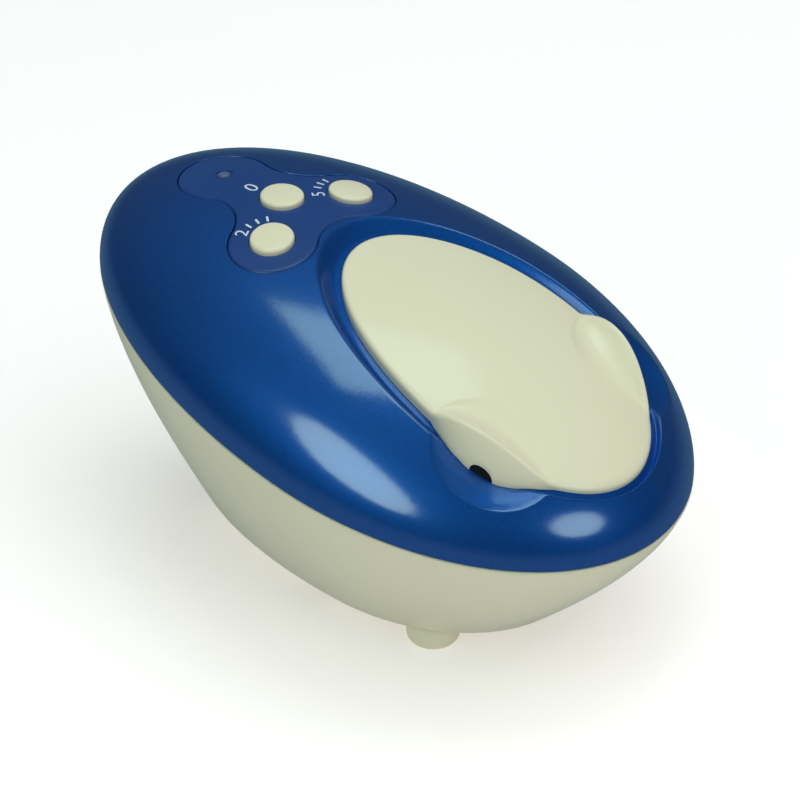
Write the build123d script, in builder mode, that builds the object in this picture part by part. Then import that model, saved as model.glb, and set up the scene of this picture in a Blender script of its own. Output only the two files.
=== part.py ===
# Ultrasonic contact lens cleaner: a tilted egg-shaped body with a lift-off lid over a steel tank.
# Millimetres. +Z is up, +Y points to the narrow end with the buttons, the origin is under the
# middle of the body on the table.
from math import cos, hypot, radians, sin, sqrt, tan
import os

from build123d import *

os.makedirs("parts", exist_ok=True)

# Body: an egg in plan, split by a seam plane that climbs towards the narrow end.
body_length = 150.0
body_width = 99.2
front_length = 65.0  # from the widest section to the wide end
seam_height = 50.4  # at the widest section
seam_tilt = 10.4  # degrees
dome_rise = 27.0  # from the seam to the crown, at the widest section
wall = 2.4
base_height = 6.0
base_front = 37.8
base_back = 62.7
base_half_width = 28.0
hull_bulge = 1.34  # exponent of the inward sweep of the hull wall
base_edge_round = 1.0
tongue_height = 2.0
tongue_wall = 1.2
seat_gap = 0.15  # between pieces that stay seated
slide_gap = 0.2  # around pieces that move

# Lid and the recess it sits in. Plan outlines are two half ellipses that meet at lid_y.
lid_y = -36.0
lid_half_width = 25.3
lid_front = 31.5
lid_back = 44.0
lid_sink = 0.7
recess_depth = 3.2
lid_edge_round = 1.2
lid_gap = 0.6  # between the lid and the foot of the recess wall
recess_half_width = 28.8
recess_front = 33.5
recess_back = 50.2
recess_side_lift = 2.3  # how far the recess rim stands above its own mean plane at the sides
rib_depth = 3.0
rib_wall = 1.6

# Grip ears on both sides of the lid, and the finger pockets beside them in the housing.
ear_y = -47.4
ear_length = 24.6
ear_wall = 2.0
ear_room = 0.4  # between the foot of an ear and the housing
ear_height = 6.2
ear_bulge = 2.2
ear_tuck = 0.8  # how far the ends of an ear run in under the lid edge
scoop_x = 25.0
scoop_y = -48.0
scoop_radius = 13.5
scoop_dip = 0.7
notch_y = -47.2
notch_radius = 2.4
notch_depth = 4.0
pocket_x = 22.2
pocket_y = -49.0
pocket_radius = 15.7
pocket_depth = 4.0

# Water tank, level in the body, below a well in the recess floor.
well_y = -32.0
well_half_length = 27.0
well_half_width = 21.0
well_wall = 2.0
well_floor = 48.0
well_lip = 3.0
gasket_thickness = 1.0
tank_sheet = 0.7
tank_depth = 20.0
tank_draft = 1.5
tank_corner = 2.5
flange_overlap = 0.8
clamp_thickness = 2.5
clamp_lug = 3.0
clamp_screw_length = 7.0
transducer_radius = 12.0
transducer_thickness = 3.0

# Lens holder: two cups on a bridge with a grip post, and a cap on each cup.
cup_radius = 9.2
cup_wall = 1.2
cup_height = 10.0
cup_spacing = 20.6
holder_gap = 0.3
grip_width = 12.0
grip_thickness = 3.0
grip_height = 27.0
slot_width = 2.0
slot_count = 6
cap_thickness = 1.4
cap_plug = 2.0
cap_grip_height = 3.5

# Control panel: three lobes joined by hollow arcs.
led_y = 48.2
led_lobe_y = 49.6
led_lobe_radius = 10.3
key_x = 12.9
key_y = 22.0
key_lobe_radius = 10.6
waist_radius = 12.0
panel_front_y = 16.0
panel_thickness = 1.6
panel_edge_round = 0.35
off_y = 30.7
button_radius = 4.9
button_proud = 1.3
button_edge_round = 0.7
button_travel = 0.8
button_flange = 1.2
stem_radius = 1.8
led_radius = 1.5

# Button board under the panel.
key_board_z = 66.0
key_board_width = 40.0
key_board_length = 42.0
key_board_y = 35.0
board_thickness = 1.6
switch_size = 6.0
switch_height = 3.5
switch_tip_radius = 1.75
switch_tip = 1.0
post_boss_radius = 3.0
key_screw_length = 6.0

# Main board.
main_board_z = 24.0
main_board_width = 34.0
main_board_length = 40.0
main_board_y = 20.0
board_inset = 4.0
standoff_radius = 3.0

# Screws.
case_screw_radius = 1.5
case_screw_length = 12.0
case_head_radius = 2.8
case_head_height = 2.0
small_screw_radius = 1.1
small_head_radius = 2.1
small_head_height = 1.4
front_screw = (22.0, 2.0)
rear_screw = (9.0, 45.0)
case_boss_radius = 3.6
case_tube_radius = 4.4
boss_drop = 3.0  # the case bosses end this far under the seam
screw_web = 3.0

# Feet and power inlet.
foot_radius = 5.9
foot_round = 1.8
foot_stem_radius = 2.4
front_foot = (17.8, -28.5)
rear_foot_y = 30.0
jack_z = 40.0
jack_radius = 4.0
jack_flange_radius = 5.6
jack_flange = 1.2
jack_length = 13.0
jack_bore = 2.8
jack_pin_radius = 1.0
jack_boss_radius = 7.6
jack_face_y = 64.5
jack_wall = 3.0
lead_radius = 0.7
ribbon_width = 8.0
ribbon_thickness = 0.6

# Worked out from the values above.
half_width = body_width / 2
back_length = body_length - front_length
widest_y = front_length - body_length / 2
seam_slope = tan(radians(seam_tilt))
floor_z = base_height + wall
tank_top = well_floor - gasket_thickness
flange_z = tank_top - tank_sheet
tank_floor = flange_z - tank_depth
opening_length = well_half_length - well_lip
opening_width = well_half_width - well_lip
key_board_top = key_board_z + board_thickness
main_board_top = main_board_z + board_thickness


def seam_z(y):
    return seam_height + seam_slope * (y - widest_y)


def dome_z(x, y, inset=0.0):
    # Height of the dome above the table, after shrinking it all round by the inset.
    reach = (front_length if y < widest_y else back_length) - inset
    share = 1 - (x / (half_width - inset)) ** 2 - ((y - widest_y) / reach) ** 2
    return seam_z(y) + (dome_rise - inset) * sqrt(max(share, 0.0))


def dome_normal(x, y):
    # Outward normal of the dome, from the slope of its height both ways.
    step = 0.05
    slope_x = (dome_z(x + step, y) - dome_z(x - step, y)) / (2 * step)
    slope_y = (dome_z(x, y + step) - dome_z(x, y - step)) / (2 * step)
    return Vector(-slope_x, -slope_y, 1).normalized()


def egg_face(plane, front, back, half, stretch=1.0):
    # Two half ellipses about the origin of the plane; the stretch makes up for its tilt.
    with BuildSketch(plane) as face:
        with BuildLine():
            EllipticalCenterArc((0, 0), half, back * stretch, start_angle=0, arc_size=180)
            EllipticalCenterArc((0, 0), half, front * stretch, start_angle=180, arc_size=180)
        make_face()
    return face.sketch


def tilted_plane(y, height, slope):
    return Plane(origin=(0, y, height), x_dir=(1, 0, 0), z_dir=(0, -slope, 1))


def dome_solid(inset, turn=180):
    # Egg turned about the long axis, then flattened to the dome rise and sheared to the seam. Half a
    # turn gives the part above the seam, a whole turn the part below it too.
    front = front_length - inset
    back = back_length - inset
    half = half_width - inset
    with BuildPart() as egg:
        with BuildSketch():
            with BuildLine():
                nose = EllipticalCenterArc((0, widest_y), half, front, start_angle=270, arc_size=90)
                tail = EllipticalCenterArc((0, widest_y), half, back, start_angle=0, arc_size=90)
                Line(tail @ 1, nose @ 0)
            make_face()
        revolve(axis=Axis.Y, revolution_arc=-turn)
    squash = (dome_rise - inset) / half
    shear = Matrix([[1, 0, 0, 0], [0, 1, 0, 0], [0, seam_slope, squash, seam_z(0)], [0, 0, 0, 1]])
    return egg.part.transform_geometry(shear)


def hull_solid(inset):
    # Loft from the seam outline down to the base, through rings that tilt less and less.
    rings = []
    for share in (0.0, 0.2, 0.45, 0.7, 1.0):
        sweep_in = share**hull_bulge
        front = front_length * (1 - sweep_in) + base_front * sweep_in
        back = back_length * (1 - sweep_in) + base_back * sweep_in
        half = half_width * (1 - sweep_in) + base_half_width * sweep_in
        slope = (1 - share) * seam_slope * body_length / (front + back)
        height = (1 - share) * seam_height + share * (base_height + inset)
        plane = tilted_plane(widest_y, height, slope)
        rings.append(egg_face(plane, front - inset, back - inset, half - inset, sqrt(1 + slope**2)))
    with BuildPart() as hull:
        loft(sections=rings)
    return hull.part


def union(*pieces):
    with BuildPart() as joined:
        add(pieces)
    return joined.part


def overlap(first, second):
    with BuildPart() as shared:
        add(first)
        add(second, mode=Mode.INTERSECT)
    return shared.part


def column(centre_y, front, back, half, low=0.0, high=100.0):
    # Upright block with an egg outline.
    face = egg_face(Plane((0, centre_y, low)), front, back, half)
    with BuildPart() as block:
        extrude(face, amount=high - low)
    return block.part


def pillar(x, y, radius, low, high):
    with BuildPart() as post:
        with BuildSketch(Plane.XY.offset(low)):
            with Locations((x, y)):
                Circle(radius)
        extrude(amount=high - low)
    return post.part


def skin(block, top_inset, bottom_inset):
    # The slice of a block that lies between two copies of the dome.
    with BuildPart() as cut_slice:
        add(block)
        add(dome_solid(top_inset), mode=Mode.INTERSECT)
        if bottom_inset is not None:
            add(dome_solid(bottom_inset), mode=Mode.SUBTRACT)
    return cut_slice.part


def save(part, name):
    part.label = name
    export_step(part, f"parts/{name}.step")


seam_stretch = sqrt(1 + seam_slope**2)


def tongue_ring(clearance=0.0):
    # Low wall inside the seam that keeps the two housings in line, or the groove it runs in.
    outside = wall + seat_gap - clearance
    inside = wall + seat_gap + tongue_wall + clearance
    rings = []
    for inset in (outside, inside):
        outline = (front_length - inset, back_length - inset, half_width - inset, seam_stretch)
        rings.append(egg_face(tilted_plane(widest_y, seam_height, seam_slope), *outline))
    with BuildPart() as ring:
        for amount in (tongue_height + clearance, -2 * wall):
            extrude(rings[0], amount=amount)
        for amount in (tongue_height + clearance, -2 * wall):
            extrude(rings[1], amount=amount, mode=Mode.SUBTRACT)
    return ring.part


# Control panel outline: the arcs run on from one another, so only the tangent points are needed.
def waist_points(lobe, lobe_radius, key, key_radius, radius):
    # Where an outside arc of the given radius touches two lobes, on their right-hand side.
    gap = hypot(key[0] - lobe[0], key[1] - lobe[1])
    near = lobe_radius + radius
    far = key_radius + radius
    along = (near**2 - far**2 + gap**2) / (2 * gap)
    out = sqrt(near**2 - along**2)
    ux = (key[0] - lobe[0]) / gap
    uy = (key[1] - lobe[1]) / gap
    centre = (lobe[0] + ux * along - uy * out, lobe[1] + uy * along + ux * out)
    first = tuple(lobe[i] + (centre[i] - lobe[i]) * lobe_radius / near for i in (0, 1))
    second = tuple(key[i] + (centre[i] - key[i]) * key_radius / far for i in (0, 1))
    return first, second


def panel_block(margin):
    lobe = (0.0, led_lobe_y)
    key = (key_x, key_y)
    drop = key_y - panel_front_y
    front_radius = (key_x**2 + drop**2 - key_lobe_radius**2) / (2 * (key_lobe_radius - drop))
    front_centre = (0.0, panel_front_y - front_radius)
    share = key_lobe_radius / (key_lobe_radius + front_radius)
    front_touch = tuple(key[i] + (front_centre[i] - key[i]) * share for i in (0, 1))
    first, second = waist_points(lobe, led_lobe_radius, key, key_lobe_radius, waist_radius)
    with BuildPart() as block:
        with BuildSketch():
            with BuildLine():
                top = TangentArc((0, led_lobe_y + led_lobe_radius), first, tangent=(1, 0))
                waist = TangentArc(first, second, tangent=top % 1)
                side = TangentArc(second, front_touch, tangent=waist % 1)
                TangentArc(front_touch, (0, panel_front_y), tangent=side % 1)
                mirror(about=Plane.YZ)
            make_face()
            offset(amount=margin)
        extrude(amount=100)
    return block.part


# Lid recess: a wall that slopes in from the rim, lofted about the mean plane of the rim.
rim_front_y = lid_y - recess_front
rim_back_y = lid_y + recess_back
rim_slope = (dome_z(0, rim_back_y) - dome_z(0, rim_front_y)) / (rim_back_y - rim_front_y)
rim_stretch = sqrt(1 + rim_slope**2)


def recess_cutter():
    reach = recess_depth + 1.0
    sections = []
    for rise in (-reach, reach):
        grow = rise / recess_depth
        side_grow = grow - recess_side_lift / recess_depth
        half = recess_half_width + side_grow * (recess_half_width - lid_half_width - lid_gap)
        front = recess_front + grow * (recess_front - lid_front - lid_gap)
        back = recess_back + grow * (recess_back - lid_back - lid_gap)
        height = dome_z(0, rim_front_y) + rim_slope * recess_front + rise
        sections.append(egg_face(tilted_plane(lid_y, height, rim_slope), front, back, half, rim_stretch))
    floor = dome_solid(recess_depth)
    with BuildPart() as cutter:
        loft(sections=sections, ruled=True)
        extrude(sections[1], amount=12)
        add(floor, mode=Mode.SUBTRACT)
    return cutter.part


def pocket_ball(side):
    # Ball whose surface dips below the dome beside a grip ear.
    ball_radius = (pocket_radius**2 + pocket_depth**2) / (2 * pocket_depth)
    foot_point = Vector(side * pocket_x, pocket_y, dome_z(pocket_x, pocket_y))
    normal = dome_normal(side * pocket_x, pocket_y)
    with BuildPart() as ball:
        with Locations(foot_point + normal * (ball_radius - pocket_depth)):
            Sphere(ball_radius)
    return ball.part


def lid_edge(y):
    reach = lid_front if y < lid_y else lid_back
    return lid_half_width * sqrt(max(1 - ((y - lid_y) / reach) ** 2, 0))


def ear_section(y, side, shape):
    # Upright cross-section of a grip ear: the ear itself, the air over its scoop, its hollow or the
    # room that the housing leaves around it.
    share = (y - ear_y) / (ear_length / 2)
    swell = max(1 - share**2, 0.03)
    ridge_x = lid_edge(y) + ear_tuck * (1.25 * swell - 1)
    foot_x = ridge_x + ear_bulge * swell
    scoop_half = sqrt(max(scoop_radius**2 - (y - scoop_y) ** 2, 0))
    inner_x = min(scoop_x - scoop_half, ridge_x - 0.8)
    ridge_z = dome_z(ridge_x, y, lid_sink) + ear_height * swell
    inner_z = dome_z(inner_x, y, lid_sink)
    middle_x = (ridge_x + 2 * inner_x) / 3
    middle_z = (ridge_z + 2 * inner_z) / 3 - (scoop_dip + ear_height * 0.25) * swell
    low = dome_z(foot_x, y, recess_depth) - 2
    ridge = (ridge_x, ridge_z)
    rim = (inner_x - 0.5, inner_z + 0.2)
    with BuildSketch(Plane(origin=(0, y, 0), x_dir=(side, 0, 0), z_dir=(0, -side, 0))) as face:
        with BuildLine():
            if shape == "ear":
                Polyline(ridge, (inner_x, inner_z), (inner_x, low), (foot_x, low), close=True)
            elif shape == "hollow":
                peak = (ridge_x - 1.3 * ear_wall, ridge_z - 1.6 * ear_wall)
                Polyline((foot_x - ear_wall, low), peak, (inner_x + 2 * ear_wall, low), close=True)
            elif shape == "room":
                room_x = foot_x + ear_room
                Polyline((inner_x, low), (inner_x, ridge_z), (room_x, ridge_z), (room_x, low), close=True)
            else:
                ThreePointArc(ridge, (middle_x, middle_z), rim)
                Polyline(rim, (rim[0], 95), (foot_x + 1, 95), (foot_x + 1, ridge_z), ridge)
        make_face()
    return face.sketch


def ear_loft(side, shape, reach):
    stations = [ear_y + reach * share * ear_length / 2 for share in (-1, -0.75, -0.4, 0, 0.4, 0.75, 1)]
    with BuildPart() as body:
        loft(sections=[ear_section(y, side, shape) for y in stations])
    return body.part


case_screws = [front_screw, rear_screw]
case_points = [(side * x, y) for x, y in case_screws for side in (-1, 1)]
clamp_reach_x = well_half_width + clamp_lug + 1.5
clamp_reach_y = well_half_length + clamp_lug + 1.5
clamp_points = [
    (sx * clamp_reach_x * cos(radians(45)), well_y + sy * clamp_reach_y * sin(radians(45)))
    for sx in (-1, 1)
    for sy in (-1, 1)
]
key_points = [(-key_x, key_y), (key_x, key_y), (0.0, off_y)]
key_post_points = [(-14.5, 37.0), (14.5, 37.0)]
flange_cut = button_radius + button_flange + 2 * slide_gap

# Upper housing.
case_bosses = [
    pillar(x, y, case_boss_radius, seam_z(y) - boss_drop, dome_z(x, y, wall) + 0.2) for x, y in case_points
]
clamp_bosses = [
    pillar(x, y, clamp_lug, flange_z, dome_z(x, y, recess_depth + wall) + 0.2) for x, y in clamp_points
]
key_bosses = [
    pillar(x, y, post_boss_radius, key_board_z + board_thickness, dome_z(x, y, panel_thickness + wall) + 0.2)
    for x, y in key_post_points
]
recess_block = column(lid_y, recess_front + wall, recess_back + wall, recess_half_width + wall)
well_outside = [well_half_length + well_wall] * 2 + [well_half_width + well_wall]
well_block = column(well_y, *well_outside, low=well_floor)
floors = [
    skin(recess_block, wall / 2, recess_depth + wall),
    skin(panel_block(wall), wall / 2, panel_thickness + wall),
    overlap(well_block, dome_solid(recess_depth + wall / 2, turn=360)),
]
for side in (-1, 1):
    pocket_block = pillar(side * pocket_x, pocket_y, pocket_radius + wall, 30, 100)
    floors.append(skin(pocket_block, wall / 2, pocket_depth + wall))
openings = [
    recess_cutter(),
    tongue_ring(clearance=2 * seat_gap),
    pocket_ball(-1),
    pocket_ball(1),
    column(well_y, well_half_length, well_half_length, well_half_width, low=well_floor + well_lip / 2),
    column(well_y, opening_length, opening_length, opening_width),
    skin(panel_block(0), -5, panel_thickness),
    pillar(0, led_y, led_radius + 1.5, 60, 100),
]
ear_rooms = [ear_loft(side, "room", 1.04) for side in (-1, 1)]
recess_floor = dome_solid(recess_depth)
openings += [pillar(x, y, flange_cut, 60, 100) for x, y in key_points]
for x, y in case_points:
    boss_end = seam_z(y) - boss_drop
    openings.append(pillar(x, y, case_screw_radius, boss_end, boss_end + case_screw_length))
openings += [pillar(x, y, small_screw_radius, flange_z, flange_z + clamp_screw_length) for x, y in clamp_points]
openings += [
    pillar(x, y, small_screw_radius, key_board_top, key_board_top + key_screw_length) for x, y in key_post_points
]
outer_dome = dome_solid(0)
inner_dome = dome_solid(wall)
with BuildPart() as ear_relief:
    add(ear_rooms)
    add(recess_floor, mode=Mode.SUBTRACT)
with BuildPart() as upper_housing:
    add(outer_dome)
    add(inner_dome, mode=Mode.SUBTRACT)
    add(floors + case_bosses + clamp_bosses + key_bosses)
    add(openings, mode=Mode.SUBTRACT)
    add(ear_relief.part, mode=Mode.SUBTRACT)

save(upper_housing.part, "upper_housing")


# Lower housing.
def rod_along_y(z, radius, start_y, end_y):
    with BuildPart() as rod:
        with BuildSketch(Plane.XZ.offset(-start_y)):
            with Locations((0, z)):
                Circle(radius)
        extrude(amount=start_y - end_y)
    return rod.part


board_corners = [
    (sx * (main_board_width / 2 - board_inset), main_board_y + sy * (main_board_length / 2 - board_inset))
    for sx in (-1, 1)
    for sy in (-1, 1)
]
feet_points = [(-front_foot[0], front_foot[1]), front_foot, (0.0, rear_foot_y)]
hull_outside = hull_solid(0)
hull_inside = hull_solid(wall)
hull_middle = hull_solid(wall / 2)
supports = [overlap(pillar(x, y, case_tube_radius, 0, seam_z(y) - boss_drop), hull_middle) for x, y in case_points]
supports += [overlap(pillar(x, y, standoff_radius, 0, main_board_z), hull_middle) for x, y in board_corners]
supports.append(overlap(rod_along_y(jack_z, jack_boss_radius, jack_face_y - jack_wall, 90), hull_outside))
hull_cuts = [
    rod_along_y(jack_z, jack_flange_radius + slide_gap, jack_face_y, 90),
    rod_along_y(jack_z, jack_radius + seat_gap, jack_face_y - 2 * jack_wall, jack_face_y),
]
for x, y in case_points:
    seat = seam_z(y) - boss_drop
    hull_cuts.append(pillar(x, y, case_head_radius + 0.3, 0, seat - screw_web))
    hull_cuts.append(pillar(x, y, case_screw_radius + slide_gap, 0, seat))
hull_cuts += [pillar(x, y, small_screw_radius, main_board_z - 7, main_board_z) for x, y in board_corners]
hull_cuts += [pillar(x, y, foot_stem_radius, 0, floor_z + 0.1) for x, y in feet_points]
tongue = tongue_ring()
with BuildPart() as lower_housing:
    add(hull_outside)
    fillet(lower_housing.faces().sort_by(Axis.Z)[0].edges(), radius=base_edge_round)
    add(hull_inside, mode=Mode.SUBTRACT)
    add(tongue)
    add(supports)
    add(hull_cuts, mode=Mode.SUBTRACT)

save(lower_housing.part, "lower_housing")


# Feet.
def foot(x, y):
    with BuildPart() as pad:
        with BuildSketch():
            with Locations((x, y)):
                Circle(foot_radius)
        extrude(amount=base_height)
        fillet(pad.edges().group_by(Axis.Z)[0], radius=foot_round)
        add(pillar(x, y, foot_stem_radius, base_height, floor_z + 0.6))
    return pad.part


for name, (x, y) in zip(("foot_front_left", "foot_front_right", "foot_rear"), feet_points):
    save(foot(x, y), name)

# Control panel and its buttons.
with BuildPart() as control_panel:
    add(skin(panel_block(-seat_gap), 0, panel_thickness))
    fillet(control_panel.faces().sort_by(SortBy.AREA)[-2:].sort_by(Axis.Z)[-1].edges(), radius=panel_edge_round)
    add([pillar(x, y, button_radius + slide_gap, 60, 100) for x, y in key_points], mode=Mode.SUBTRACT)
    add(pillar(0, led_y, led_radius, 60, 100), mode=Mode.SUBTRACT)
save(control_panel.part, "control_panel")

switch_tip_z = key_board_z + board_thickness + switch_height + switch_tip


def button(x, y):
    # Cap with a domed top, a flange that stops it under the panel and a stem down to its switch.
    under_panel = panel_thickness + 0.1
    stem_low = switch_tip_z + button_travel + 0.05
    with BuildPart() as key:
        add(skin(pillar(x, y, button_radius, 60, 100), -button_proud, under_panel))
        fillet(key.faces().sort_by(Axis.Z)[-1].edges(), radius=button_edge_round)
        add(skin(pillar(x, y, button_radius + button_flange, 60, 100), under_panel, under_panel + 1.0))
        add(pillar(x, y, stem_radius, stem_low, dome_z(x, y, under_panel + 0.5)))
    return key.part


for name, (x, y) in zip(("button_2min", "button_5min", "button_off"), key_points):
    save(button(x, y), name)

with BuildPart() as led_lens:
    add(skin(pillar(0, led_y, led_radius, 60, 100), 0.3, panel_thickness + 1.6))
    add(skin(pillar(0, led_y, led_radius + 0.9, 60, 100), panel_thickness, panel_thickness + 0.8))
save(led_lens.part, "led_lens")


# Button board with its switches, indicator and screws.
def board(width, length, y, z, holes, hole_radius):
    with BuildPart() as plate:
        with BuildSketch(Plane.XY.offset(z)):
            with Locations((0, y)):
                RectangleRounded(width, length, 2.0)
            with Locations(holes):
                Circle(hole_radius, mode=Mode.SUBTRACT)
        extrude(amount=board_thickness)
    return plate.part


rear_points = [(x, y) for x, y in case_points if y > key_y]
with BuildPart() as button_board:
    add(board(key_board_width, key_board_length, key_board_y, key_board_z, key_post_points,
              small_screw_radius + 0.1))
    add([pillar(x, y, case_boss_radius + 0.6, 60, 70) for x, y in rear_points], mode=Mode.SUBTRACT)
save(button_board.part, "button_board")

with BuildPart() as tact_switches:
    with BuildSketch(Plane.XY.offset(key_board_top)):
        with Locations(key_points):
            Rectangle(switch_size, switch_size)
    extrude(amount=switch_height)
    with BuildSketch(Plane.XY.offset(key_board_top + switch_height)):
        with Locations(key_points):
            Circle(switch_tip_radius)
    extrude(amount=switch_tip)
save(tact_switches.part, "tact_switches")

led_top = dome_z(0, led_y, panel_thickness + 1.6) - 0.5
with BuildPart() as indicator_led:
    with BuildSketch(Plane.XY.offset(key_board_top)):
        with Locations((0, led_y)):
            Circle(1.9)
    extrude(amount=1.0)
    with BuildSketch(Plane.XY.offset(key_board_top + 1.0)):
        with Locations((0, led_y)):
            Circle(led_radius)
    extrude(amount=led_top - key_board_top - 1.0)
    fillet(indicator_led.edges().group_by(Axis.Z)[-1], radius=led_radius * 0.8)
save(indicator_led.part, "indicator_led")


def screw(x, y, seat, length, radius, head_radius, head_height, up=1):
    # Round-head screw: the head lies against the seat and the shank goes up or down from it.
    head_side = -up
    with BuildPart() as fastener:
        with BuildSketch(Plane((x, y, seat))):
            Circle(head_radius)
        extrude(amount=head_side * head_height)
        rim = fastener.faces().sort_by(Axis.Z)[0 if up > 0 else -1]
        fillet(rim.edges(), radius=head_height * 0.6)
        with BuildSketch(Plane((x, y, seat + head_side * head_height))):
            Rectangle(head_radius * 1.2, head_height * 0.35)
            Rectangle(head_height * 0.35, head_radius * 1.2)
        extrude(amount=up * head_height * 0.5, mode=Mode.SUBTRACT)
        with BuildSketch(Plane((x, y, seat))):
            Circle(radius)
        extrude(amount=up * length)
    return fastener.part


small_screw = (small_screw_radius, small_head_radius, small_head_height)
case_screw = (case_screw_radius, case_head_radius, case_head_height)
save(union(*[screw(x, y, key_board_z, key_screw_length, *small_screw) for x, y in key_post_points]),
     "button_board_screws")
save(union(*[screw(x, y, seam_z(y) - boss_drop - screw_web, case_screw_length, *case_screw)
             for x, y in case_points]), "case_screws")
save(union(*[screw(x, y, main_board_z + board_thickness, key_screw_length, *small_screw, up=-1)
             for x, y in board_corners]), "main_board_screws")
save(union(*[screw(x, y, flange_z - clamp_thickness, clamp_screw_length, *small_screw)
             for x, y in clamp_points]), "tank_screws")


# Lid.
lid_floor = dome_solid(recess_depth - 0.1, turn=360)
lid_slice = skin(column(lid_y, lid_front, lid_back, lid_half_width), lid_sink, recess_depth - 0.1)
rib_outside = column(well_y, well_half_length - 2 * slide_gap, well_half_length - 2 * slide_gap,
                     well_half_width - 2 * slide_gap)
rib_inset = 2 * slide_gap + rib_wall
rib_inside = column(well_y, well_half_length - rib_inset, well_half_length - rib_inset, well_half_width - rib_inset)
rib = skin(rib_outside, recess_depth - 0.3, recess_depth + rib_depth)
rib_inside_low = overlap(rib_inside, lid_floor)
ears = [ear_loft(side, "ear", 1.0) for side in (-1, 1)]
scoops = [ear_loft(side, "scoop", 1.0) for side in (-1, 1)]
ear_hollows = [ear_loft(side, "hollow", 0.7) for side in (-1, 1)]
notches = []
for side in (-1, 1):
    notch_x = lid_edge(notch_y) + ear_bulge
    with BuildPart() as notch:
        with BuildSketch(Plane(origin=(side * (notch_x + 1), notch_y, dome_z(notch_x, notch_y, recess_depth)),
                               z_dir=(-side, 0, 0))):
            Circle(notch_radius)
        extrude(amount=notch_depth)
    notches.append(notch.part)
with BuildPart() as lid:
    add(lid_slice)
    fillet(lid.faces().sort_by(SortBy.AREA)[-2:].sort_by(Axis.Z)[-1].edges(), radius=lid_edge_round)
    add(ears)
    add(lid_floor, mode=Mode.SUBTRACT)
    add(rib)
    add(rib_inside_low, mode=Mode.SUBTRACT)
    add(scoops, mode=Mode.SUBTRACT)
    add(ear_hollows, mode=Mode.SUBTRACT)
    add(notches, mode=Mode.SUBTRACT)
save(lid.part, "lid")


# Tank: a drawn steel bowl with a flange, sealed under the lip of the well and clamped from below.
def bowl(skin_thickness):
    top = egg_face(Plane((0, well_y, tank_top)), *[opening_length - 0.6 + skin_thickness] * 2,
                   opening_width - 0.6 + skin_thickness)
    low = egg_face(Plane((0, well_y, tank_floor + tank_sheet - skin_thickness)),
                   *[opening_length - 0.6 - tank_draft + skin_thickness] * 2,
                   opening_width - 0.6 - tank_draft + skin_thickness)
    with BuildPart() as body:
        loft(sections=[top, low], ruled=True)
        fillet(body.faces().sort_by(Axis.Z)[0].edges(), radius=tank_corner + skin_thickness)
    return body.part


def flat_ring(low, thickness, outside, inside):
    # Level ring around the well axis; each side is a half length and a half width.
    with BuildPart() as ring:
        extrude(egg_face(Plane((0, well_y, low)), outside[0], outside[0], outside[1]), amount=thickness)
        extrude(egg_face(Plane((0, well_y, low)), inside[0], inside[0], inside[1]), amount=thickness,
                mode=Mode.SUBTRACT)
    return ring.part


flange_outside = (well_half_length + flange_overlap, well_half_width + flange_overlap)
bowl_outside = (opening_length - 0.6 + tank_sheet, opening_width - 0.6 + tank_sheet)
clamp_outside = (well_half_length + well_wall, well_half_width + well_wall)
clamp_inside = tuple(size + 2 * slide_gap for size in bowl_outside)
bowl_outer = bowl(tank_sheet)
bowl_inner = bowl(0)
with BuildPart() as tank:
    add(bowl_outer)
    add(flat_ring(flange_z, tank_sheet, flange_outside, (opening_length - 1, opening_width - 1)))
    add(bowl_inner, mode=Mode.SUBTRACT)
save(tank.part, "tank")
save(flat_ring(tank_top, gasket_thickness, flange_outside, (opening_length, opening_width)), "tank_gasket")

clamp_low = flange_z - clamp_thickness
with BuildPart() as tank_clamp:
    add(flat_ring(clamp_low, clamp_thickness, clamp_outside, clamp_inside))
    for x, y in clamp_points:
        add(pillar(x, y, clamp_lug, clamp_low, flange_z))
    add(column(well_y, clamp_inside[0], clamp_inside[0], clamp_inside[1]), mode=Mode.SUBTRACT)
    for x, y in clamp_points:
        add(pillar(x, y, small_screw_radius + 0.1, clamp_low, flange_z), mode=Mode.SUBTRACT)
save(tank_clamp.part, "tank_clamp")

with BuildPart() as piezo_disc:
    add(pillar(0, well_y, transducer_radius, tank_floor - transducer_thickness, tank_floor))
    fillet(piezo_disc.edges().filter_by(GeomType.CIRCLE), radius=0.3)
save(piezo_disc.part, "piezo_disc")

# Lens holder with its two caps.
holder_low = tank_floor + tank_sheet + holder_gap
cup_points = [(0.0, well_y + side * cup_spacing / 2) for side in (-1, 1)]
cup_rim = holder_low + cup_height
with BuildPart() as lens_holder:
    for x, y in cup_points:
        add(pillar(x, y, cup_radius, holder_low, cup_rim))
    with BuildSketch(Plane.XY.offset(holder_low)):
        with Locations((0, well_y)):
            Rectangle(grip_width, grip_thickness)
    extrude(amount=grip_height)
    fillet(lens_holder.edges().group_by(Axis.Z)[-1].filter_by(Axis.Y), radius=grip_width / 3)
    for x, y in cup_points:
        add(pillar(x, y, cup_radius - cup_wall, holder_low + cup_wall, cup_rim), mode=Mode.SUBTRACT)
        with BuildSketch(Plane.XY.offset(holder_low + 2 * cup_wall)):
            with Locations((x, y)):
                with PolarLocations(cup_radius - cup_wall / 2, slot_count, start_angle=30):
                    Rectangle(3 * cup_wall, slot_width)
            with Locations((0, well_y)):
                Rectangle(grip_width, 2 * grip_thickness, mode=Mode.SUBTRACT)
        extrude(amount=cup_height / 2, mode=Mode.SUBTRACT)
save(lens_holder.part, "lens_holder")


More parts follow.
